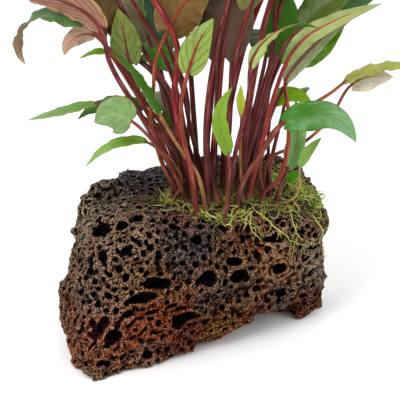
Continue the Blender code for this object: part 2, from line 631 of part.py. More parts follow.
def leaf_frame(leaf, points):
    """The unit vectors across the leaf and out of its upper side, at each station."""
    along = unit(np.gradient(points, axis=0))
    share = np.clip((np.arange(len(points)) - STALK_STATIONS + 1) / BLADE_STATIONS, 0, 1)
    goal = DAYLIGHT - points if leaf.turn is None else EYE - points
    facing = unit(goal - (goal * along).sum(axis=1, keepdims=True) * along)
    aside = np.cross(along, facing)
    base_turn, tip_turn = (0, 0) if leaf.turn is None else leaf.turn
    turn = np.radians(base_turn + (tip_turn - base_turn) * share)[:, None]
    out = np.cos(turn) * facing + np.sin(turn) * aside
    return np.cross(along, out), out


def leaf_sizes(leaf):
    """Half widths and half thicknesses at each station, from the foot to the tip."""
    stalk = leaf.radius * np.linspace(1, NECK_THINNING, STALK_STATIONS)
    share = np.arange(1, BLADE_STATIONS + 1) / BLADE_STATIONS
    blade = np.maximum(blade_half_width(share, leaf.width), TIP_RADIUS)
    blade[:2] = np.maximum(blade[:2], stalk[-1])
    thickness = np.full(BLADE_STATIONS, BLADE_THICKNESS / 2)
    return np.concatenate((stalk, blade)), np.concatenate((stalk, thickness))


def leaf_line(leaf, foot):
    """The leaf's middle line, before it leans out of the way of others."""
    stalk = [foot] + [seen(*place) for place in leaf.stalk]
    blade = [seen(*place) for place in leaf.blade]
    whole = smooth_path(stalk + blade, FINE_STEPS * (STALK_STATIONS + BLADE_STATIONS))
    neck = np.argmin(np.linalg.norm(whole - blade[0], axis=1))
    lower = smooth_path(whole[:neck + 1:FINE_STEPS], STALK_STATIONS)
    upper = smooth_path(whole[neck::FINE_STEPS], BLADE_STATIONS + 1)[1:]
    return np.concatenate((lower, upper))


def leaf_samples(leaf, line):
    """Points over a leaf at half stations: their places, sizes, and the stations on either side."""
    across, out = leaf_frame(leaf, line)
    widths, thicknesses = leaf_sizes(leaf)
    points, sizes, lower, upper = [], [], [], []
    for half_station in range(2 * len(line) - 1):
        around = (half_station // 2, (half_station + 1) // 2)
        middle, aside, lift, width, thickness = (
            (values[around[0]] + values[around[1]]) / 2
            for values in (line, across, out, widths, thicknesses))
        reach = width - thickness
        for side in np.linspace(-reach, reach, 1 + 2 * math.ceil(reach / SIDE_STEP)):
            points.append(middle + side * aside + abs(side) * math.tan(BLADE_FOLD) * lift)
            sizes.append(thickness)
            lower.append(around[0])
            upper.append(around[1])
    return np.array(points), np.array(sizes), np.array(lower), np.array(upper)


def lean_apart(lines):
    """Moves leaves along the line of sight, nearer or farther, until none touch."""
    names = list(lines)
    stations = STALK_STATIONS + BLADE_STATIONS
    parts = [leaf_samples(LEAVES[name], lines[name]) for name in names]
    owners = np.concatenate([np.full(len(part[0]), number) for number, part in enumerate(parts)])
    samples, sizes, lower, upper = map(np.concatenate, zip(*parts))
    sights = samples - EYE
    depths = sights @ AHEAD
    flat = np.column_stack((sights @ RIGHT, sights @ UPWARD)) / depths[:, None] * EYE_DISTANCE
    sweep = np.argsort(flat[:, 0])
    owners, samples, sizes, lower, upper, depths, flat = (
        values[sweep] for values in (owners, samples, sizes, lower, upper, depths, flat))

    # Pairs of samples that one line of sight could pass through
    firsts, seconds, needs = [], [], []
    ends = np.searchsorted(flat[:, 0], flat[:, 0] + 2 * sizes.max() + CLEARANCE)
    for number, end in enumerate(ends):
        later = slice(number + 1, end)
        apart = np.hypot(*(flat[later] - flat[number]).T)
        room = sizes[later] + sizes[number] + CLEARANCE
        close = np.nonzero((apart < room) & (owners[later] != owners[number]))[0]
        firsts.append(np.full(len(close), number))
        seconds.append(close + number + 1)
        needs.append(np.sqrt(room[close] ** 2 - apart[close] ** 2))
    firsts, seconds, needs = map(np.concatenate, (firsts, seconds, needs))
    swapped = owners[firsts] > owners[seconds]
    firsts, seconds = np.where(swapped, seconds, firsts), np.where(swapped, firsts, seconds)

    # Two leaves pass each other one way round among the feet, and one way round above them
    low = (lower[firsts] < LOW_STATIONS) & (lower[seconds] < LOW_STATIONS)
    meetings = (low * len(names) + owners[firsts]) * len(names) + owners[seconds]
    _, meeting = np.unique(meetings, return_inverse=True)
    behind = np.bincount(meeting, depths[seconds] - depths[firsts])[meeting] > 0
    order = np.where(behind, 1, -1)
    leaned = np.zeros((len(names), stations))
    freedom = np.clip(np.arange(stations) / ROOTED_STATIONS, 0, 1)
    spread = np.hanning(2 * YIELD_SPREAD + 3)[1:-1]
    spread = spread / spread.sum()
    for _ in range(YIELD_ROUNDS):
        now = depths + (leaned[owners, lower] + leaned[owners, upper]) / 2
        short = np.clip(needs - (now[seconds] - now[firsts]) * order, 0, None) * order
        push_out = np.zeros_like(leaned)
        push_in = np.zeros_like(leaned)
        for which, sign in ((firsts, -0.5), (seconds, 0.5)):
            for stations_near in (lower, upper):
                np.maximum.at(push_out, (owners[which], stations_near[which]), sign * short)
                np.minimum.at(push_in, (owners[which], stations_near[which]), sign * short)
        push = push_out + push_in
        for number in range(len(names)):
            smooth = np.convolve(np.pad(push[number], YIELD_SPREAD, "edge"), spread, "valid")
            blended = YIELD_SMOOTHNESS * smooth + (1 - YIELD_SMOOTHNESS) * push[number]
            leaned[number] += freedom * blended
    moved = {}
    for name, lean in zip(names, leaned):
        sight = lines[name] - EYE
        moved[name] = EYE + sight * (1 + lean / (sight @ AHEAD))[:, None]
    return moved


def stalk_rings(line):
    """The stations of the stalk that carry a ring, enough of them to follow its curve."""
    stations = range(STALK_STATIONS)
    kept = [0, 1, STALK_STATIONS - 1]
    while True:
        kept.sort()
        chords = np.column_stack([np.interp(stations, kept, line[kept, axis]) for axis in range(3)])
        strayed = np.linalg.norm(line[stations] - chords, axis=1)
        if strayed.max() < STALK_STRAIGHTNESS:
            return kept
        kept.append(int(strayed.argmax()))


def make_leaf(name, line):
    """One leaf: rings of five corners from the foot to the tip of the blade."""
    leaf = LEAVES[name]
    across, out = leaf_frame(leaf, line)
    widths, thicknesses = leaf_sizes(leaf)
    shape = bmesh.new()
    rings = []
    for station in stalk_rings(line):
        corners = []
        for side in range(5):
            angle = math.radians(18 + 72 * side)
            reach = widths[station] * (math.cos(angle) * across[station] + math.sin(angle) * out[station])
            if station == 0:
                reach[2] = 0
            corners.append(shape.verts.new(line[station] + reach))
        rings.append(corners)
    for number in BLADE_RINGS:
        station = STALK_STATIONS + number
        half, rise = widths[station], math.tan(BLADE_FOLD)
        thick = thicknesses[station] if number < BLADE_STATIONS - 1 else TIP_RADIUS
        sides = ((1, rise), (0, thick / half), (-1, rise), (-0.35, 0.35 * rise - thick / half),
                 (0.35, 0.35 * rise - thick / half))
        rings.append([shape.verts.new(line[station]
                                      + half * (aside * across[station] + lift * out[station]))
                      for aside, lift in sides])
    for lower, upper in zip(rings, rings[1:]):
        for side in range(5):
            after = (side + 1) % 5
            shape.faces.new((lower[side], lower[after], upper[after], upper[side]))
    shape.faces.new(rings[0])
    shape.faces.new(rings[-1])
    return add_object(name, shape, leaf.kind)


def make_root(name, places, tree):
    """A root that creeps over the stone's face without touching it."""
    shape = bmesh.new()
    path = smooth_path([skin_seen(across, up) for across, up in places], 3 * len(places))
    for index, point in enumerate(path - 4 * ROOT_RADIUS * AHEAD):
        near, normal, _, _ = tree.find_nearest(Vector(point) * METRES)
        lift = ROOT_RADIUS + ROOT_LIFT
        path[index] = np.array(near + normal * lift * METRES) / METRES
    path = smooth_path(path[::2], len(path))
    along = unit(np.gradient(path, axis=0))
    out = unit(-AHEAD + (along @ AHEAD)[:, None] * along)
    aside = np.cross(along, out)
    rings = []
    for index, point in enumerate(path):
        radius = ROOT_RADIUS * (1 - 0.5 * index / len(path))
        rings.append([shape.verts.new(point + radius * (math.cos(turn) * aside[index]
                                                        + math.sin(turn) * out[index]))
                      for turn in np.radians((90, 162, 234, 306, 18))])
    for lower, upper in zip(rings, rings[1:]):
        for side in range(5):
            after = (side + 1) % 5
            shape.faces.new((lower[side], lower[after], upper[after], upper[side]))
    shape.faces.new(rings[0])
    shape.faces.new(rings[-1])
    return add_object(name, shape, "root")


def main():
    """Builds the whole plant on its stone."""
    for old in list(bpy.data.objects):
        bpy.data.objects.remove(old)
    stone_tree = surface_of(make_stone())
    mat = make_pad("rootstock", "rootstock", stone_tree)
    make_pad("moss_left", "moss", stone_tree)
    make_pad("moss_right", "moss", stone_tree)
    for name, places in ROOTS.items():
        make_root(name, places, stone_tree)
    ground = [stone_tree, surface_of(mat)]
    lines = {}
    for name, (x, y) in spread_feet().items():
        radius = LEAVES[name].radius
        foot = np.array((x, y, highest_near(ground, x, y, radius) + GAP))
        lines[name] = leaf_line(LEAVES[name], foot)
    for _ in range(YIELD_PASSES):
        lines = lean_apart(lines)
    for name, line in lines.items():
        make_leaf(name, line)


main()
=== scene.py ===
# %% [markdown]
# # A cryptocoryne growing on a block of lava stone
# About fifty leaves stand on long burgundy stalks in one rosette. Moss and fine roots hold the
# rosette to a block of porous lava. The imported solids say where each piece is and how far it
# reaches. Here every piece is made again in its place with its real surface: veined blades,
# striped stalks, loose threads of moss, and a stone full of gas bubbles.

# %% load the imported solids
import itertools
import json
import math
from collections import namedtuple

import bmesh
import bpy
import numpy as np
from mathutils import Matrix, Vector
from mathutils.kdtree import KDTree


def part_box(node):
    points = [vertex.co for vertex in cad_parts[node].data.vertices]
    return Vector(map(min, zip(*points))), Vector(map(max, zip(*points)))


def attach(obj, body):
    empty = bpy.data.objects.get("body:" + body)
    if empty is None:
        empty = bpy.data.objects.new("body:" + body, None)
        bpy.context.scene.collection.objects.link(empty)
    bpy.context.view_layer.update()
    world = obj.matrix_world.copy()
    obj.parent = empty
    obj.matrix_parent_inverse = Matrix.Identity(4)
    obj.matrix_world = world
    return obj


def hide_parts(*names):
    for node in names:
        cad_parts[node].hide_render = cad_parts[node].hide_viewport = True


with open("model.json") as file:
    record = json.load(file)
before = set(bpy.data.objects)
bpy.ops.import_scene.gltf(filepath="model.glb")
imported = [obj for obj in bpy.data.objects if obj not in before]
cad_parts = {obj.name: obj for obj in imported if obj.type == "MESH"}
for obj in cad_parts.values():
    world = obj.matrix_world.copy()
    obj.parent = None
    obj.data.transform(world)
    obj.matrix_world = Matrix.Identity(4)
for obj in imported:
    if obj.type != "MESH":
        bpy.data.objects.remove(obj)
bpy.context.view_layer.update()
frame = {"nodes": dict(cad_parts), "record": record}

# %% [markdown]
# ## Millimetres, and the eye
# Blender counts in metres, and this plant is as small as a hand, so every length here is in
# millimetres and a mesh is scaled as it is made. Places on the plant's front are given as
# someone sees them who looks at it from the front and a little above: so far across to the
# right and so far up, at the distance of the eye's target. A line from the eye through that
# place then finds the stone's skin.

# %% the eye
MM = 0.001
EYE_PITCH = math.radians(18)
EYE_DISTANCE = 800.0
EYE_TARGET = np.array((6.0, -33.0, 78.0))
RIGHT = np.array((1.0, 0.0, 0.0))
AHEAD = np.array((0.0, math.cos(EYE_PITCH), -math.sin(EYE_PITCH)))
UPWARD = np.array((0.0, math.sin(EYE_PITCH), math.cos(EYE_PITCH)))
EYE = EYE_TARGET - EYE_DISTANCE * AHEAD
print("the eye is at", EYE.round(), "mm")


# %% small helpers for directions
def unit(vectors):
    """The vectors at length one."""
    return vectors / np.maximum(np.linalg.norm(vectors, axis=-1, keepdims=True), 1e-9)


def square_to(ways, vectors):
    """The vectors turned until they stand square to the ways, at length one."""
    return unit(vectors - (vectors * ways).sum(axis=1, keepdims=True) * ways)


def sight(across, up):
    """The direction from the eye to the place that it sees at (across, up)."""
    return unit(EYE_DISTANCE * AHEAD + across * RIGHT + up * UPWARD)


print("straight ahead is the direction", sight(0, 0).round(2))

# %% [markdown]
# ## Colours and shader sums
# A colour is easiest to name as a screen shows it, from 0 to 255, but a shader adds light, so
# it wants linear numbers. The studio's light is brighter than the white of the background, so
# a surface's own colour is darker than it looks: the number is divided by that light. Patterns
# on leaves and stone are sums and products of a few simple ones. Dragging wires between Math
# nodes hides that sum, so a small class wraps a socket, and an ordinary expression such as
# 1 - veins adds the nodes.


# %% colours
STUDIO_LIGHT = 1.7


def paint(red, green, blue):
    """A shader colour from the three numbers a screen shows in the studio's light."""
    screen = np.array((red, green, blue)) / 255
    linear = np.where(screen < 0.04, screen / 12.92, ((screen + 0.055) / 1.055) ** 2.4)
    return (*(linear / STUDIO_LIGHT).tolist(), 1.0)


def stain(colour, times, other=(0, 0, 0), share=1):
    """The paint of so many times one screen colour with a share of another added."""
    return paint(*[min(255, part * times + extra * share) for part, extra in zip(colour, other)])


print("fresh leaf green is", [round(part, 3) for part in paint(110, 160, 75)])


# %% a socket that takes part in sums
class Value:
    """One socket of a finish. An expression on values adds its Math nodes."""

    def __init__(self, finish, socket):
        self.finish, self.socket = finish, socket

    def __add__(self, other):
        return self.finish.sum("ADD", self, other)

    def __sub__(self, other):
        return self.finish.sum("SUBTRACT", self, other)

    def __rsub__(self, other):
        return self.finish.sum("SUBTRACT", other, self)

    def __mul__(self, other):
        return self.finish.sum("MULTIPLY", self, other)

    def __pow__(self, power):
        return self.finish.sum("POWER", self, power)

    __radd__ = __add__
    __rmul__ = __mul__

    def rise(self, start, end, low=0.0, high=1.0):
        """A smooth climb from low to high while this value goes from start to end."""
        ends = {"From Min": start, "From Max": end, "To Min": low, "To Max": high}
        return self.finish.node("MapRange", {"interpolation_type": "SMOOTHSTEP"},
                                {"Value": self, **ends})


print("values can be added, taken away, multiplied and raised to a power")


# %% a finish, built node by node
class Finish:
    """A material made of nodes around one Principled shader."""

    def __init__(self, name, **constants):
        self.material = bpy.data.materials.new(name)
        self.material.use_nodes = True
        self.tree = self.material.node_tree
        self.shader = self.tree.nodes["Principled BSDF"]
        for socket, value in constants.items():
            self.shader.inputs[socket.replace("_", " ")].default_value = value

    def node(self, kind, settings=None, values=None, output=0):
        """Adds one node: its settings first, then what its sockets hold or are linked to."""
        made = self.tree.nodes.new("ShaderNode" + kind)
        for name, setting in (settings or {}).items():
            setattr(made, name, setting)
        sockets = {socket.identifier: socket for socket in made.inputs}
        for name, value in (values or {}).items():
            self.feed(sockets[name], value)
        return Value(self, made.outputs[output])

    def feed(self, socket, value):
        """Links a value to a socket, or sets a plain number or colour on it."""
        if isinstance(value, Value):
            self.tree.links.new(value.socket, socket)
        else:
            socket.default_value = value

    def sum(self, operation, first, second=0.0):
        """One Math node."""
        return self.node("Math", {"operation": operation}, {"Value": first, "Value_001": second})

    def vector(self, operation, first, second):
        """One Vector Math node."""
        parts = {"Vector": first, "Vector_001": second}
        return self.node("VectorMath", {"operation": operation}, parts)

    def mix(self, share, first, second):
        """A colour that goes from the first to the second as the share goes from 0 to 1."""
        settings = {"data_type": "RGBA", "clamp_factor": True}
        return self.node("Mix", settings, {"Factor_Float": share, "A_Color": first,
                                           "B_Color": second}, output=2)

    def layers(self, colour, *coats):
        """A colour with others laid over it in turn, each given as its share and its colour."""
        for share, coat in coats:
            colour = self.mix(share, colour, coat)
        return colour

    def measure(self, name, output=2):
        """What a mesh stores under a name at its points."""
        return self.node("Attribute", {"attribute_name": name}, output=output)

    def place(self, wave):
        """Where a point is on the object, counted in waves of so many millimetres."""
        here = self.node("TexCoord", output=3)
        return self.vector("MULTIPLY", here, (1 / (wave * MM),) * 3)

    def noise(self, place, detail=2.0, roughness=0.5, output=0):
        """Soft noise around 0.5 at a place that is counted in waves."""
        return self.node("TexNoise", {}, {"Vector": place, "Scale": 1.0, "Detail": detail,
                                          "Roughness": roughness}, output)

    def web(self, place):
        """How far the nearest edge between scattered cells is, in waves."""
        return self.node("TexVoronoi", {"feature": "DISTANCE_TO_EDGE"},
                         {"Vector": place, "Scale": 1.0, "Randomness": 1.0})

    def finish(self, colour, roughness, relief=None, depth=0.2, **others):
        """Feeds the shader. The relief is a height from 0 to 1, depth millimetres high."""
        self.feed(self.shader.inputs["Base Color"], colour)
        self.feed(self.shader.inputs["Roughness"], roughness)
        for socket, value in others.items():
            self.feed(self.shader.inputs[socket.replace("_", " ")], value)
        if relief:
            bump = self.node("Bump", {}, {"Strength": 1.0, "Distance": depth * MM,
                                          "Height": relief})
            self.feed(self.shader.inputs["Normal"], bump)
        return self.material


print("a finish is ready to take nodes")

# %% [markdown]
# ## Meshes from arrays
# Thousands of threads and half a million points are too many for one call each, so a mesh is
# worked out as arrays of numbers and handed over in one go. Numbers that the finish needs, such
# as how far a point lies along its leaf, travel with the mesh as attributes of its points.


# %% a piece from points and faces
def put_in_scene(name, data):
    """An object in the scene made of a mesh, a lamp or a camera."""
    made = bpy.data.objects.new(name, data)
    bpy.context.scene.collection.objects.link(made)
    return made


def join(*shapes):
    """The points and faces of several shapes as one shape."""
    starts = np.cumsum([0] + [len(points) for points, _ in shapes])
    faces = [part + start for (_, part), start in zip(shapes, starts)]
    return np.concatenate([points for points, _ in shapes]), np.concatenate(faces)


def add_piece(name, points, faces, material, slot, replaced=(), **measures):
    """A smooth mesh of points in millimetres that rides on the plant."""
    mesh = bpy.data.meshes.new(name)
    mesh.from_pydata((points * MM).tolist(), [], np.asarray(faces).tolist())
    mesh.shade_smooth()
    for key, values in measures.items():
        kind, field = ("FLOAT", "value") if values.ndim == 1 else ("FLOAT_VECTOR", "vector")
        mesh.attributes.new(key, kind, "POINT").data.foreach_set(
            field, values.astype(np.float32).ravel())
    mesh.materials.append(material)
    piece = put_in_scene(name, mesh)
    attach(piece, "root")
    if replaced:
        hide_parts(*replaced)


print("pieces ride on the body named root")


# %% many round tubes at once
def tubes(paths, radii, sides):
    """Points and faces of round tubes along paths, which are an array of so many points each."""
    count, length = paths.shape[:2]
    along = unit(np.gradient(paths, axis=1))
    aside = np.empty_like(paths)
    side = unit(np.cross(along[:, 0], (0.31, 0.87, 0.38)))
    for step in range(length):
        side = square_to(along[:, step], side)
        aside[:, step] = side
    out = np.cross(along, aside)
    turn = np.arange(sides) * math.tau / sides
    rim = (np.cos(turn)[:, None] * aside[:, :, None] + np.sin(turn)[:, None] * out[:, :, None])
    points = paths[:, :, None] + radii[..., None, None] * rim
    index = np.arange(count * length * sides).reshape(count, length, sides)
    after = np.roll(index, -1, axis=2)
    faces = np.stack((index[:, :-1], after[:, :-1], after[:, 1:], index[:, 1:]), axis=-1)
    return points.reshape(-1, 3), faces.reshape(-1, 4)


trial_points, trial_faces = tubes(np.cumsum(np.ones((1, 4, 3)), axis=1), np.ones((1, 4)), 6)
print("a trial tube has", len(trial_points), "points and", len(trial_faces), "faces")

# %% [markdown]
# ## The stone's skin
# The stone is a broken block of lava: flat-sided, with weathered edges, ledges and swellings.
# It could be sculpted by hand, but thousands of bubbles have to be cut into it afterwards. So
# it is described as a field: a sum that says for any point how far it lies outside the stone.
# The block's flat sides give the field its large form, bites take parts of its outline away,
# and waves of noise add the ledges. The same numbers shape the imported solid.

# %% the block
# The tables of the stone count from here
STONE_AT = np.array((6.0, -33.0, 0.0))
STONE_CORNERS = (
    (-57, -50, -7), (-40, -43, -6), (9, 1, -6), (21, 21, -6), (68, 54, -6),
    (64, 79, -6), (-44, 80, -6), (-71, 22, -6), (-76, 2, 10), (-70, -29, 9),
    (-57, -38, 36), (-63, -4, 36), (-66, 9, 57), (-64, 20, 69), (-54, 50, 81), (-26, 64, 83),
    (18, 70, 83), (44, 78, 82), (60, 64, 72), (68, 42, 63), (69, 28, 44), (66, 38, 12),
    (-54, -37, 60), (-22, -35, 78), (14, -22, 79), (50, 4, 69), (66, 17, 52),
)
STONE_HEART = STONE_AT + (-2.0, 16.0, 38.0)
STONE_REACH = 150.0
HALVINGS = 24
SIGHT_STEP = 0.5
EDGE_ROUNDING = 2.2
# Bites out of the block's outline: centre and half sizes
STONE_BITES = (
    ((-77, -8, 42), (13, 24, 15)),
    ((46, 4, -4), (34, 38, 19)),
    ((-10, -2, 94), (42, 16, 14)),
)
# Swellings and ledges: the size of a wave along X, Y and Z, how far it lifts the skin, its seed
STONE_WAVES = (
    ((34, 34, 34), 3.0, 11), ((24, 24, 8), 2.4, 12), ((13, 13, 13), 2.0, 13), ((6, 6, 5), 1.5, 14),
)
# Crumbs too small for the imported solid
CRUMBS = (((3.4, 3.4, 2.8), 0.9, 21), ((1.9, 1.9, 1.7), 0.55, 22), ((1.2, 1.2, 1.1), 0.4, 23))
# The noise repeats after so many waves, and it starts far enough out to stay above zero
NOISE_WAVES = 32
NOISE_START = 100
# The eight corners of a cube of the grid
CUBE = tuple(itertools.product((0, 1), repeat=3))
print("the block has", len(STONE_CORNERS), "corners")


# %% noise that repeats exactly
def wander(points, wave, seed):
    """Smooth noise from -1 to 1 that takes a new value every wave, which is one length in
    millimetres or one along each of X, Y and Z."""
    lattice = np.random.default_rng(seed).uniform(-1, 1, (NOISE_WAVES,) * 3)
    place = points / np.array(wave) + NOISE_START
    corner = np.floor(place).astype(int)
    blend = place - corner
    blend = blend * blend * (3 - 2 * blend)
    total = 0
    for step in CUBE:
        weight = 1
        for axis, is_far in enumerate(step):
            weight = weight * (blend[..., axis] if is_far else 1 - blend[..., axis])
        near = (corner + step) % NOISE_WAVES
        total = total + weight * lattice[near[..., 0], near[..., 1], near[..., 2]]
    return total


def shaking(points, wave, seed):
    """Smooth noise along X, Y and Z at once."""
    return np.stack([wander(points, wave, seed + axis) for axis in range(3)], axis=1)


print("noise at the origin:", wander(np.zeros(3), (6, 6, 5), 14).round(3))


# %% the field
def block_faces():
    """The outward normals of the rough block, and how far out each face lies."""
    block = bmesh.new()
    for corner in STONE_CORNERS:
        block.verts.new(corner)
    bmesh.ops.convex_hull(block, input=block.verts)
    bmesh.ops.recalc_face_normals(block, faces=block.faces)
    normals = np.array([face.normal for face in block.faces])
    offsets = np.array([face.normal.dot(face.verts[0].co) for face in block.faces])
    block.free()
    return normals, offsets


BLOCK_NORMALS, BLOCK_OFFSETS = block_faces()


def stone_skin(points, waves=STONE_WAVES):
    """Roughly how far points lie outside the stone; below zero inside it."""
    points = points - STONE_AT
    flats = (points @ BLOCK_NORMALS.T - BLOCK_OFFSETS) / EDGE_ROUNDING
    depth = EDGE_ROUNDING * np.log(np.exp(flats).sum(axis=-1))
    for centre, half_sizes in STONE_BITES:
        inside = 1 - np.linalg.norm((points - centre) / half_sizes, axis=-1)
        depth = np.maximum(depth, inside * min(half_sizes))
    for wave, lift, seed in waves:
        depth = depth + lift * wander(points, wave, seed)
    return depth


def skin_slope(points):
    """The direction straight out of the stone near each point."""
    step = 0.8
    slopes = [stone_skin(points + step * axis) - stone_skin(points - step * axis)
              for axis in np.eye(3)]
    return unit(np.stack(slopes, axis=-1))


def skin_along(starts, directions):
    """Where each ray leaves the stone, from a start inside it."""
    near, far = np.zeros(len(directions)), np.full(len(directions), STONE_REACH)
    for _ in range(HALVINGS):
        middle = (near + far) / 2
        outside = stone_skin(starts + directions * middle[:, None]) > 0
        far, near = np.where(outside, middle, far), np.where(outside, near, middle)
    return starts + directions * near[:, None]


def skin_seen(across, up):
    """The first point of the stone's skin seen at (across, up), or else the nearest to it."""
    steps = np.arange(EYE_DISTANCE - STONE_REACH, EYE_DISTANCE + STONE_REACH, SIGHT_STEP)
    points = EYE + steps[:, None] * sight(across, up)
    depths = stone_skin(points)
    return points[np.argmax(depths < max(0, depths.min() + 0.1))]


print("straight ahead the stone begins at", skin_seen(0, -30).round(1))

# %% [markdown]
# ## Hollows and bubbles
# Gas left this lava full of bubbles: caves a finger could enter, hollows, and pores down to a
# pin's width. The large ones are placed one by one where the front shows them, and by a rule on
# the other sides. The small ones are scattered over the skin, large ones first, each keeping its
# distance from its neighbours, so that thin walls stay between them. All are ellipsoids taken
# out of a grid of the field, which is much quicker than thousands of Boolean cuts.

# %% the hollows of the front
# As seen: across, up, half width, half height, turn in degrees, depth
FRONT_HOLLOWS = (
    (-49.5, -15, 5, 4.6, 20, 9), (-39, -13, 3.6, 2.6, 0, 6),
    (-31, -9, 2.8, 2.4, 0, 5), (-49, -28, 2.6, 4.2, 10, 6),
    (-55.5, -34.5, 3.8, 6.4, -15, 7), (-37, -25.5, 4.6, 2, 32, 5),
    (-1.5, -20, 2.7, 2.5, 0, 5), (39.5, -34.5, 5, 3.2, 0, 10),
    (5, -39.5, 5.4, 4.4, -10, 6), (19.5, -38, 6, 3.8, 0, 6),
    (17, -31, 4.2, 2.4, 0, 5), (-22, -41.5, 9.4, 3.2, -4, 5),
    (-28, -49, 9, 2.8, 12, 5), (-60, -65, 3, 9, -35, 4),
    (-51, -66, 3, 9.4, -30, 4), (-43.5, -69.5, 4.4, 5.2, -20, 6),
    (-8, -60, 9.6, 4, 8, 6), (40.5, -47, 3.4, 2, 0, 4),
    (52, -48, 3.2, 1.8, 0, 4), (-26.5, -77.5, 3.2, 2.4, 0, 4),
    (38, -19.5, 9, 1.8, 4, 4), (-57.5, -21.5, 2.2, 2, 0, 4),
    (-2, -32.2, 2, 1.8, 0, 4), (39.5, -9.2, 2, 1.6, 0, 4),
    (51, -15.8, 2.2, 1.6, 0, 4), (28.5, -18.5, 1.9, 1.8, 0, 4),
    (28.8, -28.3, 1.8, 2.3, 10, 4), (34, -50.2, 2.6, 1.7, 0, 3),
    (12.5, -65.2, 3.2, 1.6, 8, 3), (-49.5, -81.8, 2.4, 1.8, 20, 4),
    (57, -23, 3.2, 1.8, 15, 4), (-13.5, -13.5, 2.2, 1.6, 0, 3),
    (-20.5, -28.5, 2.6, 1.6, 10, 3), (56.5, -35.5, 2.4, 2, 0, 4),
    (-36, -57, 3.8, 1.8, 18, 3), (28, -44, 3.6, 1.6, 12, 3),
)
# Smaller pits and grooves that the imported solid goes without
FRONT_PITS = (
    (-59.5, -46.2, 1.6, 1.5, 0, 4), (-63, -49.2, 1.2, 1.4, 20, 3), (-58.5, -51.2, 1.6, 1.3, 0, 3),
    (-29.7, -35, 1.5, 1.6, 0, 3), (27.8, -13.2, 1.5, 1.4, 0, 4), (10.5, -13.5, 1.6, 0.9, 0, 3),
    (0, -13, 1.8, 1, 15, 3), (-45, -37.5, 1.6, 1.2, 0, 3), (46, -56, 2.4, 1.1, 0, 3),
    (-56.5, -64, 1, 7, -33, 2), (-47.5, -64, 0.9, 6, -30, 2),
    (-62.5, -60.5, 0.9, 5, -35, 2), (-54, -73, 0.9, 5, -36, 2),
    (-34.5, -62, 1, 4, -40, 2), (-40.5, -61, 0.9, 3.6, -35, 2),
    (-29, -66, 0.8, 4.2, -38, 2), (-20, -66, 3.6, 0.9, 20, 2), (-14, -53, 4.6, 1, 14, 2),
    (-24, -56, 5, 1, 16, 2), (-2, -54, 4, 0.9, 10, 2), (3, -61, 2.4, 1.2, 20, 3),
    (47, -37, 4.6, 0.8, 24, 2), (52, -30, 4.4, 0.9, 30, 2), (31, -23, 4, 0.8, -8, 2),
    (-33, -20, 3.4, 1.2, -24, 3), (-40, -19.5, 1, 2.8, 12, 3), (-27, -21, 1.2, 1.6, 0, 3),
)
WILD_HOLLOWS = 32
WILD_SIZES = (3.2, 7.0)
print(len(FRONT_HOLLOWS) + len(FRONT_PITS), "hollows are seen on the front")


# %% where every hollow goes
def front_hollow(across, up, half_width, half_height, turn, depth):
    """Centre, axes and half sizes of a hollow that is seen on the front."""
    turn = math.radians(turn)
    along = math.cos(turn) * RIGHT + math.sin(turn) * UPWARD
    upright = math.cos(turn) * UPWARD - math.sin(turn) * RIGHT
    return skin_seen(across, up), np.array((along, upright, AHEAD)), (half_width, half_height, depth)


def wild_hollows():
    """Centre, axes and half sizes of the hollows scattered over the sides and back."""
    chance = np.random.default_rng(5)
    placed = []
    while len(placed) < WILD_HOLLOWS:
        way = chance.normal(size=3)
        way = way / np.linalg.norm(way)
        if way @ AHEAD < 0.1 or not -0.5 < way[2] < 0.75:
            continue
        size = chance.uniform(*WILD_SIZES)
        side = unit(np.cross(way, (0, 0, 1)))
        axes = np.array((side, np.cross(side, way), way))
        centre = skin_along(STONE_HEART, way[None])[0]
        placed.append((centre, axes, (size, size * chance.uniform(0.5, 0.9), size)))
    return placed


caves = [front_hollow(*row) for row in FRONT_HOLLOWS] + wild_hollows()
pits = [front_hollow(*row) for row in FRONT_PITS]
print(len(caves), "caves and", len(pits), "pits")
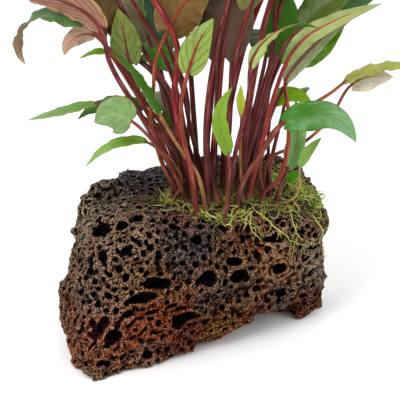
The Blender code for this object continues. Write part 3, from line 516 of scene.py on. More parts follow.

# %% [markdown]
# ## Kinds of lava
# The block isn't the same all over. The left is froth: a web of thin walls, pale partly by their
# own colour and partly by a painted highlight, around pores painted nearly black as shade. The
# crown and the middle are charcoal sand with pale painted glints, the foot is rusty crumb, and
# around the burst bubble the lava is glossy caramel. Soft patches say where, each with the colour
# of its body and of what stands out, its gloss, and its share of froth. Between them the nearer
# patch wins, with edges broken by noise. The same patches say how large the bubbles are, so they
# are mixed by one function.

# %% patches of lava
# As seen: across, up, reach, body, what stands out, gloss, share of froth
PATCHES = (
    (-32, 12, 16, (44, 37, 35), (160, 154, 158), 0.2, 0.45),
    (-46, 4, 9, (50, 38, 33), (186, 170, 156), 0.2, 0.8),
    (-22, 4, 10, (62, 42, 32), (140, 108, 92), 0.1, 0.5),
    (0, 10, 18, (50, 44, 42), (120, 112, 108), 0.2, 0.4),
    (-55, -5, 12, (66, 43, 29), (242, 214, 178), 0.3, 1.0),
    (-52, -22, 14, (70, 41, 27), (246, 204, 170), 0.3, 1.0),
    (-33, -18, 10, (58, 35, 22), (238, 202, 164), 0.3, 1.0),
    (-24, -8, 9, (70, 44, 36), (206, 168, 148), 0.2, 0.9),
    (-30, -33, 10, (76, 50, 32), (220, 180, 136), 0.3, 0.9),
    (-4, -24, 14, (38, 35, 36), (112, 112, 118), 0.1, 0.1),
    (-6, -12, 9, (78, 47, 38), (172, 122, 106), 0.1, 0.4),
    (2, -37, 8, (96, 50, 32), (178, 122, 98), 0.1, 0.4),
    (22, -14, 12, (92, 54, 28), (172, 120, 82), 0.3, 0.2),
    (46, -12, 13, (90, 56, 42), (218, 176, 148), 0.2, 0.9),
    (40, -33, 10, (122, 70, 32), (240, 196, 146), 0.9, 0.05),
    (40, -24, 7, (122, 72, 34), (238, 196, 156), 0.8, 0.1),
    (56, -32, 9, (104, 70, 48), (246, 218, 186), 0.7, 0.3),
    (10, -34, 11, (82, 52, 30), (208, 166, 122), 0.4, 0.4),
    (10, -48, 12, (62, 53, 48), (150, 122, 104), 0.1, 0.15),
    (40, -46, 12, (70, 52, 43), (166, 130, 108), 0.2, 0.3),
    (52, -52, 8, (100, 54, 36), (180, 122, 92), 0.1, 0.3),
    (-20, -42, 12, (76, 40, 23), (184, 134, 92), 0.3, 0.2),
    (-36, -40, 8, (84, 62, 38), (228, 194, 138), 0.4, 0.7),
    (-55, -50, 11, (78, 63, 54), (206, 174, 152), 0.2, 0.9),
    (-44, -52, 9, (106, 72, 54), (232, 180, 146), 0.2, 0.5),
    (-58, -66, 13, (122, 74, 54), (216, 158, 128), 0.1, 0.1),
    (-40, -72, 13, (118, 66, 44), (214, 152, 118), 0.1, 0.2),
    (-22, -62, 13, (112, 56, 30), (198, 126, 88), 0.1, 0.15),
    (-6, -62, 10, (82, 38, 20), (170, 100, 62), 0.1, 0.1),
    (10, -60, 9, (116, 64, 32), (222, 162, 104), 0.2, 0.3),
    (28, -54, 9, (116, 66, 43), (192, 132, 96), 0.1, 0.2),
    (-46, -86, 8, (80, 54, 38), (194, 160, 124), 0.2, 0.4),
    (-30, -80, 8, (118, 80, 62), (214, 168, 142), 0.1, 0.2),
    (-12, -74, 9, (102, 58, 40), (178, 122, 92), 0.1, 0.15),
)
# The sides and the back, which the front doesn't show: a direction from the stone's heart,
# then as above from the reach on
WILD_PATCHES = (
    ((-1, 0.6, 0.1), 24, (74, 50, 36), (216, 180, 144), 0.2, 0.9),
    ((-0.4, 1, 0.3), 24, (56, 49, 47), (148, 140, 138), 0.1, 0.3),
    ((0.4, 1, -0.1), 24, (104, 60, 40), (196, 142, 108), 0.1, 0.3),
    ((1, 0.5, 0.2), 24, (82, 56, 42), (210, 172, 140), 0.2, 0.8),
    ((0.2, 0.6, 0.9), 24, (56, 48, 46), (146, 140, 142), 0.1, 0.4),
    ((-0.6, 0.7, -0.5), 22, (112, 64, 44), (202, 142, 110), 0.1, 0.2),
    ((0.7, 0.9, 0.6), 22, (80, 55, 42), (206, 168, 136), 0.2, 0.8),
    ((0.0, 1.0, -0.6), 22, (102, 56, 36), (188, 128, 96), 0.1, 0.2),
)
patch_places = [skin_seen(*row[:2]) for row in PATCHES]
wild_ways = unit(np.array([row[0] for row in WILD_PATCHES], float))
patch_places = np.concatenate((patch_places, skin_along(STONE_HEART, wild_ways)))
patch_rows = [row[2:] for row in PATCHES] + [row[1:] for row in WILD_PATCHES]
patch_reaches = np.array([row[0] for row in patch_rows])
patch_looks = np.array([(*paint(*row[1])[:3], *paint(*row[2])[:3], *row[3:]) for row in patch_rows])
print(len(patch_rows), "patches of lava")


# %% mixing the patches
def lava_at(points):
    """The colour of the body and the rims, the gloss and the share of froth at points."""
    torn = points + 7.0 * shaking(points, 7, 41)
    torn += 2.0 * shaking(points, 2.5, 44)
    mixed = []
    for part in np.array_split(torn, 1 + len(torn) // 50000):
        distance = np.linalg.norm(part[:, None] - patch_places[None], axis=-1) / patch_reaches
        nearest = (distance ** 2).min(axis=1, keepdims=True)
        weight = np.exp(-1.7 * (distance ** 2 - nearest))
        mixed.append(weight @ patch_looks / weight.sum(axis=1, keepdims=True))
    mixed = np.concatenate(mixed)
    return mixed[:, :3], mixed[:, 3:6], mixed[:, 6], mixed[:, 7]


print("froth and gloss at the left shoulder:", *lava_at(skin_seen(-55, -5)[None])[2:])

# %% [markdown]
# A grid of the whole block at bubble size has millions of points. The large form changes
# slowly, so it is worked out on a coarse grid first, and only the points near the skin are
# worked out again one by one.

# %% the grid
GRAIN = 0.56
COARSE = 4
GRID_MARGIN = 4.2
NEAR_SKIN = 3.6
stone_low, stone_high = (np.array(corner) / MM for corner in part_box("stone"))
grid_low = stone_low - GRID_MARGIN
grid_size = np.ceil((stone_high + GRID_MARGIN - grid_low) / GRAIN / COARSE)
grid_size = grid_size.astype(int) * COARSE + 1


def grid_points(window, spacing=GRAIN):
    """The places of a window of the grid."""
    lines = [grid_low[axis] + spacing * np.arange(part.start, part.stop)
             for axis, part in enumerate(window)]
    return np.stack(np.meshgrid(*lines, indexing="ij"), axis=-1)


def stretch(values):
    """A coarse grid, filled in evenly at the fine spacing."""
    for axis in range(3):
        places = np.arange((values.shape[axis] - 1) * COARSE + 1) / COARSE
        before = np.minimum(places.astype(int), values.shape[axis] - 2)
        share = (places - before).reshape([-1 if other == axis else 1 for other in range(3)])
        share = share.astype(np.float32)
        values = (np.take(values, before, axis) * (1 - share)
                  + np.take(values, before + 1, axis) * share)
    return values


print("the grid is", *grid_size, "points")

# %% the field on the grid
coarse_size = (grid_size - 1) // COARSE + 1
coarse = stone_skin(grid_points([slice(0, size) for size in coarse_size], GRAIN * COARSE))
skin = stretch(coarse.astype(np.float32))
near = np.argwhere(np.abs(skin) < NEAR_SKIN)
for part in np.array_split(near, 20):
    skin[tuple(part.T)] = stone_skin(grid_low + GRAIN * part, STONE_WAVES + CRUMBS)
field = skin.copy()
print(len(near), "points near the skin were worked out one by one")

# %% [markdown]
# A round bubble looks drilled. Where a bubble is cut, the grid's places are first shifted a
# little at random, a different way every couple of millimetres, so that its rim comes out torn.

# %% the torn places
TEAR = 0.5
tear = np.stack([stretch(np.random.default_rng(seed).uniform(-TEAR, TEAR, coarse_size)
                         .astype(np.float32)) for seed in (27, 28, 29)], axis=-1)
print("places shift by up to", TEAR, "mm")


# %% cutting a bubble out of the grid
def carve(centre, axes, half_sizes):
    """Takes an ellipsoid out of the stone."""
    axes, half_sizes = np.array(axes), np.array(half_sizes)
    reach = np.linalg.norm(axes * half_sizes[:, None], axis=0) + GRAIN + TEAR
    first = np.maximum(np.floor((centre - reach - grid_low) / GRAIN).astype(int), 0)
    last = np.minimum(np.ceil((centre + reach - grid_low) / GRAIN).astype(int) + 1, grid_size)
    if (first >= last).any():
        return
    window = tuple(slice(start, stop) for start, stop in zip(first, last))
    inside = (grid_points(window) + tear[window] - centre) @ axes.T / half_sizes
    depth = (1 - np.sqrt((inside * inside).sum(axis=-1))) * half_sizes.min()
    field[window] = np.maximum(field[window], depth)


for hollow in caves + pits:
    carve(*hollow)
print("caves and pits are cut")

# %% [markdown]
# The deep round hole on the right is a burst bubble. Its wall was drawn out like toffee and
# froze in rings, which show as narrow bands around it. A ripple that fades with the distance
# from the hole is added to the field, and the same distance later bands the colour.

# %% the rings of the burst bubble
BURST = (39.5, -34.5)
RING_STEP, RING_HEIGHT = 1.9, 0.8
RINGS_START, RINGS_END = 3.0, 15
burst_at = skin_seen(*BURST)


def ring_reach(points):
    """How far points lie from the middle of the burst bubble, as seen, and drawn out sideways."""
    offset = points - burst_at
    reach = np.hypot(offset @ RIGHT / 1.35, offset @ UPWARD)
    return reach + 1.5 * wander(points, 6, 35) + 9 * (np.abs(offset @ AHEAD) > 12)


around = near[np.linalg.norm(grid_low + GRAIN * near - burst_at, axis=1) < RINGS_END]
reach = ring_reach(grid_low + GRAIN * around)
ripple = RING_HEIGHT * np.cos(reach * math.tau / RING_STEP) * np.exp(-((reach - 3.4) / 3.6) ** 2)
field[tuple(around.T)] -= ripple * (reach > RINGS_START)
print("the rings reach", round(float(reach.max()), 1), "mm")


# %% [markdown]
# ## From the field to a surface
# Surface nets is a simple way to skin a field: every cell of the grid that the surface passes
# through gets one point, at the middle of the places where the surface crosses the cell's edges,
# and four such cells around a crossed edge make one face.


# %% surface nets
AXES = np.eye(3, dtype=int)


def surface_net(values):
    """Points and four-cornered faces of the surface where the grid's values pass zero."""
    inside = values < 0
    cells = np.zeros(np.array(values.shape) - 1, np.uint8)
    for corner in CUBE:
        cells += inside[tuple(slice(c, c + n) for c, n in zip(corner, cells.shape))]
    crossed = np.argwhere((cells > 0) & (cells < 8))
    number = np.full(cells.shape, -1, np.int32)
    number[tuple(crossed.T)] = np.arange(len(crossed))
    total = np.zeros((len(crossed), 3))
    count = np.zeros(len(crossed))
    for axis in range(3):
        for corner in CUBE:
            if corner[axis]:
                continue
            start = values[tuple((crossed + corner).T)]
            end = values[tuple((crossed + corner + AXES[axis]).T)]
            crosses = (start < 0) != (end < 0)
            share = np.where(crosses, start / np.where(crosses, start - end, 1), 0)
            place = np.array(corner, float) + share[:, None] * AXES[axis]
            total += np.where(crosses[:, None], place, 0)
            count += crosses
    points = grid_low + GRAIN * (crossed + total / count[:, None])
    faces = []
    for axis in range(3):
        one, two = AXES[(axis + 1) % 3], AXES[(axis + 2) % 3]
        shape = np.array(values.shape) - AXES[axis]
        low = inside[tuple(slice(0, n) for n in shape)]
        high = np.roll(inside, -1, axis=axis)[tuple(slice(0, n) for n in shape)]
        edges = np.argwhere(low != high)
        # An edge on the outside of the grid has fewer than four cells around it
        for other in (one.argmax(), two.argmax()):
            edges = edges[(edges[:, other] > 0) & (edges[:, other] < cells.shape[other])]
        around = [number[tuple((edges - back).T)] for back in (one + two, two, 0 * one, one)]
        quads = np.stack(around, axis=-1)
        is_exit = low[tuple(edges.T)]
        faces.append(np.where(is_exit[:, None], quads, quads[:, ::-1]))
    return points, np.concatenate(faces)


heights = (grid_low[2] + GRAIN * np.arange(grid_size[2])).astype(np.float32)
field = np.maximum(field, -heights)
skin_points, _ = surface_net(field)
print(len(skin_points), "places on the skin to put bubbles")

# %% [markdown]
# Froth has many bubbles of all sizes that nearly touch. Sand and crumb have few and small ones.

# %% the bubbles
SMALLEST, LARGEST = 0.5, 1.8
CANDIDATES = 170000
chance = np.random.default_rng(8)
places = skin_points[chance.permutation(len(skin_points))[:CANDIDATES]]
places = places[places[:, 2] > 0.8]
froth = np.clip(lava_at(places)[3] + 0.3 * wander(places, (9, 9, 7), 31), 0, 1)
share = chance.uniform(size=len(places)) ** (8.5 - 5.0 * froth)
sizes = SMALLEST + (LARGEST - SMALLEST) * share
spacing = 2 * sizes * (1.5 - 0.5 * froth)
by_size = np.argsort(-sizes)
places, sizes, spacing = places[by_size], sizes[by_size], spacing[by_size]

tree = KDTree(len(places))
for number, place in enumerate(places):
    tree.insert(place, number)
tree.balance()
taken = np.zeros(len(places), bool)
bubbles = []
for number, place in enumerate(places.tolist()):
    if taken[number]:
        continue
    bubbles.append(number)
    for _, other, _ in tree.find_range(place, spacing[number]):
        taken[other] = True
print(len(bubbles), "bubbles, from", sizes.min().round(2), "to", sizes.max().round(2), "mm in radius")

# %% cut the bubbles
outward = skin_slope(places[bubbles])
stretchy = chance.uniform(0.7, 1.3, (len(bubbles), 3))
ways = unit(chance.normal(size=(len(bubbles), 3)))
for number, out, stretched, way in zip(bubbles, outward, stretchy, ways):
    side = unit(np.cross(out, way))
    axes = np.array((side, np.cross(out, side), out))
    carve(places[number] - 0.3 * sizes[number] * out, axes, sizes[number] * stretched)
field = np.maximum(field, -heights)
print("bubbles are cut")

# %% [markdown]
# ## The stone's mesh
# The net of the bubbled field has too many faces for one piece. Decimate takes faces away where
# the surface is nearly flat and keeps them at rims, and a weight makes it spare the front, which
# is seen most. What the finish needs to know is then read from the grid at every point that is
# left: how deep the point lies below the old skin, and how much stone there is around it, which
# is little at a thin rim and much in a crevice.

# %% skin the stone
STONE_FACES = 196000
BACK_WEIGHT, FRONT_WEIGHT = 1.0, 0.45
LEVELS = 10
stone_points, stone_quads = surface_net(field)
raw = bpy.data.meshes.new("stone_raw")
raw.from_pydata((stone_points * MM).tolist(), [], stone_quads.tolist())
raw_object = put_in_scene("stone_raw", raw)
behind = np.clip(0.5 + (stone_points - STONE_HEART) @ AHEAD / 50, 0, 1)
spared = raw_object.vertex_groups.new(name="spared")
for level in range(LEVELS + 1):
    members = np.flatnonzero(np.round(behind * LEVELS) == level).tolist()
    weight = FRONT_WEIGHT + (BACK_WEIGHT - FRONT_WEIGHT) * level / LEVELS
    spared.add(members, weight, "REPLACE")
thinned = raw_object.modifiers.new("thinned", "DECIMATE")
thinned.ratio = min(1, STONE_FACES / (2 * len(stone_quads)))
thinned.vertex_group = "spared"
thinned.vertex_group_factor = 0.02
thinned.use_collapse_triangulate = True
evaluated = raw_object.evaluated_get(bpy.context.evaluated_depsgraph_get())
thin_mesh = bpy.data.meshes.new_from_object(evaluated)
bpy.data.objects.remove(raw_object)
stone_points = np.empty(len(thin_mesh.vertices) * 3)
thin_mesh.vertices.foreach_get("co", stone_points)
stone_points = stone_points.reshape(-1, 3) / MM
stone_faces = np.empty(len(thin_mesh.polygons) * 3, int)
thin_mesh.polygons.foreach_get("vertices", stone_faces)
stone_faces = stone_faces.reshape(-1, 3)
print(2 * len(stone_quads), "faces thinned to", len(stone_faces))
in_front = ((stone_points[stone_faces].mean(axis=1) - STONE_HEART) @ AHEAD < 0).mean()
print("share of faces on the front half:", in_front.round(2))


# %% read the grid at the stone's points
def read_grid(values, points):
    """The grid's value at each point, mixed evenly from the eight nearest."""
    place = (points - grid_low) / GRAIN
    corner = np.clip(np.floor(place).astype(int), 0, np.array(values.shape) - 2)
    blend = np.clip(place - corner, 0, 1)
    total = 0
    for step in CUBE:
        weight = np.prod(np.where(step, blend, 1 - blend), axis=-1)
        total = total + weight * values[tuple((corner + step).T)]
    return total


def crowding(reach):
    """How much of a small box around each grid point is stone, from 0 to 1."""
    solid = np.clip(0.5 - field / (2 * GRAIN), 0, 1).astype(np.float32)
    for axis in range(3):
        padded = np.pad(solid, [(reach + 1, reach) if other == axis else (0, 0)
                                for other in range(3)], "edge")
        running = np.cumsum(padded, axis=axis, dtype=np.float64)
        wide = 2 * reach + 1
        ahead = np.take(running, np.arange(wide, running.shape[axis]), axis)
        behind = np.take(running, np.arange(0, running.shape[axis] - wide), axis)
        solid = ((ahead - behind) / wide).astype(np.float32)
    return solid


close_walls = read_grid(crowding(reach=2), stone_points)
wide_walls = read_grid(crowding(reach=7), stone_points)
sunk = -read_grid(skin, stone_points)
stone_body, stone_rim, stone_gloss, stone_froth = lava_at(stone_points)
# The bands fade outwards, and the hole itself has none
reach = ring_reach(stone_points)
bands = np.exp(-np.clip(reach - 3.5, 0, None) / 3.0)
bands = bands * (0.5 + 0.5 * np.cos(reach * math.tau / RING_STEP))
bands = bands * np.clip((reach - 2.8) / 0.7, 0, 1)
print("walls around a point:", close_walls.min().round(2), "to", close_walls.max().round(2))

# %% [markdown]
# ## The finish of the stone
# The mesh carries every bubble wider than a millimetre. Finer pores, the web of walls between
# them and the painted glints of the sand are too small for faces, so they are cells and noise in
# the shader, and they bend the light through a Bump node. What stands out is painted paler, partly
# its own colour and partly a painted highlight, and pores, crevices and deep hollows are painted
# nearly black as shade, because little light comes back out of them.

# %% lava
WEB_CELL = 1.6
lava = Finish("lava_stone", Specular_IOR_Level=0.05, Coat_Roughness=0.22)
body = lava.measure("body", output=1)
rim = lava.measure("rim", output=1)
walls = lava.measure("walls")
depth = lava.measure("sunk")
gloss = lava.measure("gloss")
froth = lava.measure("froth")
rings = lava.measure("bands")
grit = lava.noise(lava.place(0.5), detail=3, roughness=0.7)
sand = lava.noise(lava.place(0.9), detail=1, roughness=0.8)
clumps = lava.noise(lava.place(2.8), detail=3)
shaken = lava.vector("ADD", lava.place(WEB_CELL), lava.noise(lava.place(1.5), output=1))
wide_web = lava.web(shaken)
fine_web = lava.web(lava.vector("MULTIPLY", shaken, (2.1, 2.1, 2.1)))
print("a wide web of", WEB_CELL, "mm cells and a fine one")

# %% lava's pores and walls
open_here = froth * 0.7 + (clumps - 0.5) * 1.8 + 0.35
wide_pores = wide_web.rise(0.07, 0.20) * open_here.rise(0.25, 0.7)
fine_pores = fine_web.rise(0.08, 0.24) * (open_here + 0.3).rise(0.25, 0.75)
pores = lava.sum("MAXIMUM", wide_pores, fine_pores * 0.9)
thin_walls = lava.sum("MAXIMUM", 1 - wide_web.rise(0.02, 0.12), 0.7 - fine_web.rise(0.02, 0.14) * 0.7)
stands_out = (walls * -1 + 0.47 + (grit - 0.5) * 0.3).rise(-0.04, 0.14)
crevice = (walls + (grit - 0.5) * 0.14).rise(0.46, 0.60)
deep = depth.rise(0.3, 1.9)
very_deep = depth.rise(1.5, 5.0)
# light: how pale rims and thin walls are painted, partly their own colour and partly a painted
# highlight
light = (stands_out * 0.8 + thin_walls * 0.6) * (1 - pores) * (1 - deep * 0.8)
light = (light * grit.rise(0.36, 0.58, 0.15, 1.35)).rise(0.24, 0.8)
# Painted glints: small pale spots of painted highlight on the sand
painted_glints = sand.rise(0.56, 0.61) * grit.rise(0.44, 0.52) * (1 - crevice) * (1 - deep * 0.7)
# dark: painted shade in crevices, pores and deep hollows, weaker in the bands; it turns the colour
# nearly black
dark = lava.sum("MAXIMUM", crevice * 0.9, pores * 0.95)
dark = lava.sum("MAXIMUM", dark, deep * 0.66 + very_deep * 0.3)
dark = dark * (1 - rings * 0.7)
print("pores, walls, sparkle and depth are worked out")

# %% lava's colours
rusty = lava.mix(clumps.rise(0.5, 0.7) * 0.3, body, paint(104, 52, 34))
shaded = lava.mix(grit.rise(0.4, 0.6), paint(16, 10, 8), rusty)
# The bands' caramel; its cream spots are a painted highlight
caramel = lava.mix(grit.rise(0.42, 0.66), paint(122, 66, 26), paint(242, 206, 160))
# Over the body: rims painted pale (partly a painted highlight), painted shade, painted glints, then
# the bands
tint = lava.layers(
    shaded,
    (light, rim),
    (dark, lava.mix(0.86, body, paint(4, 2, 1))),
    (painted_glints * (0.5 + stands_out * 0.5), lava.mix(0.5, rim, paint(255, 238, 216))),
    (rings * 0.8, caramel),
)
tint = lava.node("HueSaturation", {}, {"Hue": 0.49, "Saturation": 1.18, "Value": 1.04, "Color": tint})
tint = lava.node("BrightContrast", {}, {"Color": tint, "Bright": 0.0, "Contrast": 0.035})
relief = grit * 0.4 + clumps * 0.25 - pores * 0.9 + thin_walls * 0.2
wet = gloss * (1 - grit.rise(0.4, 0.7) * 0.4)
lava_material = lava.finish(tint, 0.84 - wet * 0.5, relief, depth=0.6,
                            Coat_Weight=wet * stands_out * 0.5 + rings * 0.3)
print("the lava's finish has", len(lava.tree.nodes), "nodes")

# %% the stone's piece
add_piece("stone_block", stone_points, stone_faces, lava_material, "stone", ["stone"],
          body=stone_body, rim=stone_rim, walls=close_walls * 0.65 + wide_walls * 0.35,
          sunk=sunk, gloss=stone_gloss, froth=stone_froth, bands=bands)
print("the stone has", len(stone_faces), "faces")

# %% [markdown]
# ## Reading the solid leaves
# A packed leaf is a tube with five corners to each ring, which ends in a blade of six rings.
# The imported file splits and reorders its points, but the rings come back by walking along the
# mesh: the foot is the five points at one height, and each next ring is what the last one
# touches. The ring's corners then give the leaf's middle line, its width and its upper side.

# %% the rings of a leaf
# Where the blade's rings lie, as shares of its length
BLADE_SHARES = np.array((0.125, 0.3125, 0.5, 0.6875, 0.875, 1.0))
BLADE_RINGS = len(BLADE_SHARES)
CORNERS = 5
SAME_PLACE = 1e-6
# How steeply the halves of a blade rise from the midrib
FOLD = math.tan(math.radians(14))


def leaf_rings(name):
    """The rings of a solid leaf from foot to tip, five corners each."""
    shape = bmesh.new()
    shape.from_mesh(frame["nodes"][name].data)
    bmesh.ops.remove_doubles(shape, verts=shape.verts, dist=SAME_PLACE)
    corners = sorted(shape.verts, key=lambda corner: corner.co.z)
    level = next(number for number in range(len(corners))
                 if corners[number + CORNERS - 1].co.z - corners[number].co.z < SAME_PLACE)
    ring = set(corners[level:level + CORNERS])
    met, rings = set(ring), []
    while ring:
        rings.append([corner.co / MM for corner in ring])
        ring = {edge.other_vert(corner) for corner in ring for edge in corner.link_edges} - met
        met |= ring
    shape.free()
    return np.array(rings)


def blade_section(ring, along):
    """The middle, half width and upward direction of one ring of the blade."""
    pairs = list(itertools.combinations(range(CORNERS), 2))
    one, two = max(pairs, key=lambda pair: np.linalg.norm(ring[pair[0]] - ring[pair[1]]))
    half = np.linalg.norm(ring[one] - ring[two]) / 2
    aside = (ring[one] - ring[two]) / (2 * half)
    brow = (ring[one] + ring[two]) / 2
    rest = [corner for number, corner in enumerate(ring) if number not in (one, two)]
    rest.sort(key=lambda corner: abs((corner - brow) @ aside))
    out = brow - (rest[1] + rest[2]) / 2
    out = unit(out - (out @ along) * along)
    return brow - FOLD * half * out, half, out


print("a leaf has", len(leaf_rings("leaf_top_8")), "rings")


# %% a smooth line through places
def smooth_through(knots, values, wanted):
    """Values on a smooth curve through the given ones at the knots."""
    slopes = np.gradient(values, knots, axis=0)
    span = np.clip(np.searchsorted(knots, wanted, side="right") - 1, 0, len(knots) - 2)
    length = (knots[span + 1] - knots[span])[:, None]
    share = (wanted - knots[span])[:, None] / length
    return ((2 * share ** 3 - 3 * share ** 2 + 1) * values[span]
            + (share ** 3 - 2 * share ** 2 + share) * length * slopes[span]
            + (3 * share ** 2 - 2 * share ** 3) * values[span + 1]
            + (share ** 3 - share ** 2) * length * slopes[span + 1])


def travelled_along(line):
    """How far along a line each of its points lies."""
    return np.concatenate(((0,), np.cumsum(np.linalg.norm(np.diff(line, axis=0), axis=1))))


Spine = namedtuple("Spine", "knots line neck out half radius")


def leaf_spine(name):
    """The middle line of a leaf with its knots in millimetres, and the blade's directions."""
    rings = leaf_rings(name)
    middles = rings.mean(axis=1)
    along = unit(np.gradient(middles, axis=0))
    # The last ring is the tip, which is too small to have a direction of its own
    sections = [blade_section(ring, way)
                for ring, way in zip(rings[-BLADE_RINGS:-1], along[-BLADE_RINGS:-1])]
    line = np.concatenate((middles[:-BLADE_RINGS], [section[0] for section in sections],
                           middles[-1:]))
    outs = np.array([section[2] for section in sections] + [sections[-1][2]])
    radius = np.linalg.norm(rings[1] - middles[1], axis=1).mean()
    neck = len(line) - BLADE_RINGS - 1
    return Spine(travelled_along(line), line, neck, outs, sections[1][1], radius)


spines = {name: leaf_spine(name) for name in sorted(frame["nodes"]) if name.startswith("leaf_")}
print(len(spines), "leaves read; the longest is",
      round(max(spine.knots[-1] for spine in spines.values())), "mm")

# %% [markdown]
# ## The look of each leaf
# No two leaves have the same colour. Young ones are yellow-green, old ones olive to brown, and
# many undersides are pinkish. The record sorts them into four finishes, and the leaves that the
# front shows well get their own colours here: upper side with its far end, underside, midrib,
# stalk and margin. The numbers say how far a margin waves and a blade's base is drawn back, in
# millimetres, and how strongly the veins show.

# %% leaf colours
Look = namedtuple("Look", "upper under rib stalk margin waves lobes vein far", defaults=(None,))
BURGUNDY = (112, 48, 46)
LOOKS = {
    "leaf_green": Look((88, 140, 46), (132, 178, 76), (122, 58, 40), BURGUNDY,
                       (124, 104, 50), 0.5, 2.5, 0.6),
    "leaf_pale": Look((134, 176, 92), (144, 184, 90), (136, 84, 54), BURGUNDY,
                       (144, 112, 66), 0.5, 2.5, 0.5),
    "leaf_dark": Look((66, 88, 44), (112, 92, 58), (100, 48, 36), (108, 42, 38),
                       (100, 94, 48), 0.7, 3.5, 0.5),
    "leaf_rose": Look((116, 112, 62), (176, 132, 106), (140, 66, 52), BURGUNDY,
                       (130, 116, 52), 0.7, 3.5, 0.7),
}
OWN_LOOKS = {
    "left_1": {"under": (220, 172, 144), "upper": (138, 138, 60), "rib": (112, 64, 54),
               "margin": (162, 152, 62), "lobes": 3, "vein": 0.9},
    "left_2": {"under": (116, 92, 50), "margin": (166, 152, 58), "stalk": (84, 44, 32)},
    "left_3": {"upper": (104, 142, 86), "under": (204, 172, 140), "margin": (126, 104, 66),
               "rib": (128, 96, 74), "stalk": (136, 58, 48), "vein": 0.9},
    "left_4": {"under": (214, 180, 152), "upper": (136, 156, 116), "stalk": (140, 72, 54),
               "rib": (190, 128, 104), "margin": (150, 150, 90), "vein": 0.3},
    "left_5": {"upper": (130, 184, 60), "under": (140, 188, 74)},
    "left_6": {"upper": (124, 170, 84), "margin": (196, 148, 120), "far": (150, 186, 120)},
    "left_7": {"upper": (66, 120, 40), "stalk": (92, 60, 36)},
    "left_8": {"upper": (134, 166, 106), "under": (138, 162, 104), "rib": (160, 190, 132),
               "stalk": (122, 58, 44), "lobes": 0.8, "vein": 0.25},
    "left_9": {"upper": (128, 176, 62), "stalk": (124, 76, 50), "far": (168, 208, 124)},
    "left_10": {"upper": (74, 132, 40), "stalk": (176, 128, 84)},
    "left_11": {"upper": (104, 126, 40), "stalk": (110, 72, 44)},
    "left_12": {"under": (142, 168, 88), "rib": (152, 84, 58), "vein": 1.0},
    "left_13": {"upper": (150, 186, 116), "under": (156, 186, 120)},
    "left_14": {"upper": (84, 110, 78), "under": (104, 118, 78), "margin": (150, 184, 96)},
    "left_15": {"upper": (66, 96, 66), "margin": (130, 176, 90)},
    "left_16": {"upper": (92, 158, 52), "under": (110, 168, 60)},
    "top_1": {"stalk": (138, 50, 50), "under": (160, 122, 100)},
    "top_2": {"under": (150, 182, 92), "rib": (138, 62, 44), "margin": (140, 62, 50),
              "stalk": (140, 66, 52), "vein": 1.0, "lobes": 1.5},
    "top_3": {"under": (124, 98, 52), "rib": (150, 72, 56), "stalk": (160, 88, 60),
              "margin": (176, 152, 92), "vein": 0.8},
    "top_4": {"under": (100, 76, 58), "rib": (112, 62, 50), "stalk": (118, 46, 42), "vein": 0.4},
    "top_5": {"upper": (112, 132, 66), "under": (130, 128, 78)},
    "top_6": {"upper": (150, 106, 76), "under": (186, 132, 110)},
    "top_8": {"stalk": (122, 36, 40), "upper": (100, 116, 58)},
    "top_12": {"upper": (76, 140, 34)},
    "front_1": {"upper": (132, 170, 60), "under": (166, 200, 92), "stalk": (116, 60, 44),
                "far": (140, 182, 72), "vein": 0.1},
    "front_2": {"upper": (206, 224, 84), "stalk": (140, 96, 50)},
    "right_1": {"under": (194, 218, 138), "upper": (62, 120, 44), "rib": (172, 104, 84),
                "vein": 0.7},
    "right_2": {"under": (178, 206, 128), "upper": (158, 190, 116), "rib": (178, 96, 84),
                "stalk": (156, 66, 58), "margin": (176, 132, 104), "far": (176, 190, 138),
                "vein": 0.3},
    "right_3": {"under": (186, 212, 158), "upper": (172, 200, 150), "rib": (176, 112, 96),
                "stalk": (150, 66, 56), "margin": (170, 136, 116), "vein": 0.3},
    "right_4": {"upper": (110, 170, 32), "under": (126, 180, 50), "rib": (120, 140, 44)},
    "right_5": {"upper": (70, 106, 72), "under": (80, 110, 70), "rib": (92, 100, 64),
                "margin": (110, 150, 80), "far": (84, 130, 76)},
    "right_6": {"upper": (98, 120, 52), "rib": (108, 84, 46), "vein": 0.9},
    "right_7": {"upper": (200, 204, 110), "under": (206, 204, 124), "rib": (186, 124, 90),
                "stalk": (150, 84, 54), "far": (190, 208, 110)},
    "right_8": {"under": (255, 246, 222), "upper": (224, 214, 160), "rib": (246, 214, 182),
                "margin": (200, 190, 120), "stalk": (150, 84, 56), "vein": 0.3},
    # right_9's far colour is a painted sheen toward its tip
    "right_9": {"upper": (64, 124, 30), "rib": (80, 120, 44), "stalk": (120, 66, 50),
                "far": (130, 172, 122), "vein": 0.3},
    "right_10": {"upper": (150, 200, 56), "under": (150, 200, 60), "rib": (130, 160, 50)},
    "right_11": {"upper": (134, 182, 112), "under": (128, 176, 108)},
    "right_12": {"upper": (152, 196, 104), "under": (150, 190, 100), "stalk": (160, 146, 88),
                 "rib": (160, 176, 100)},
    "right_13": {"upper": (88, 172, 30), "stalk": (124, 128, 56)},
}
slots = {part["node"]: part["material_slot"] for part in frame["record"]["subparts"]}


def look_of(name):
    """The look of a leaf: that of its kind, with what is its own."""
    look = LOOKS[slots[name]]._replace(**OWN_LOOKS.get(name.removeprefix("leaf_"), {}))
    return look if look.far else look._replace(far=look.upper)


print(len(OWN_LOOKS), "leaves have colours of their own")

# %% [markdown]
# ## The finish of a leaf
# A blade's veins leave the midrib at a low angle and run up beside it, and fine cross veins
# join them. Painted veins would need an image laid over each leaf, so they are worked out from
# two measures that every point of the mesh carries: its share of the way from base to tip, and
# its share of the way from midrib to margin. Lines of equal value of a sum of the two curve just
# as veins do. The stalk's stripes are noise drawn out along the stalk.

# %% the leaf's finish
VEIN_LEAN = 0.46


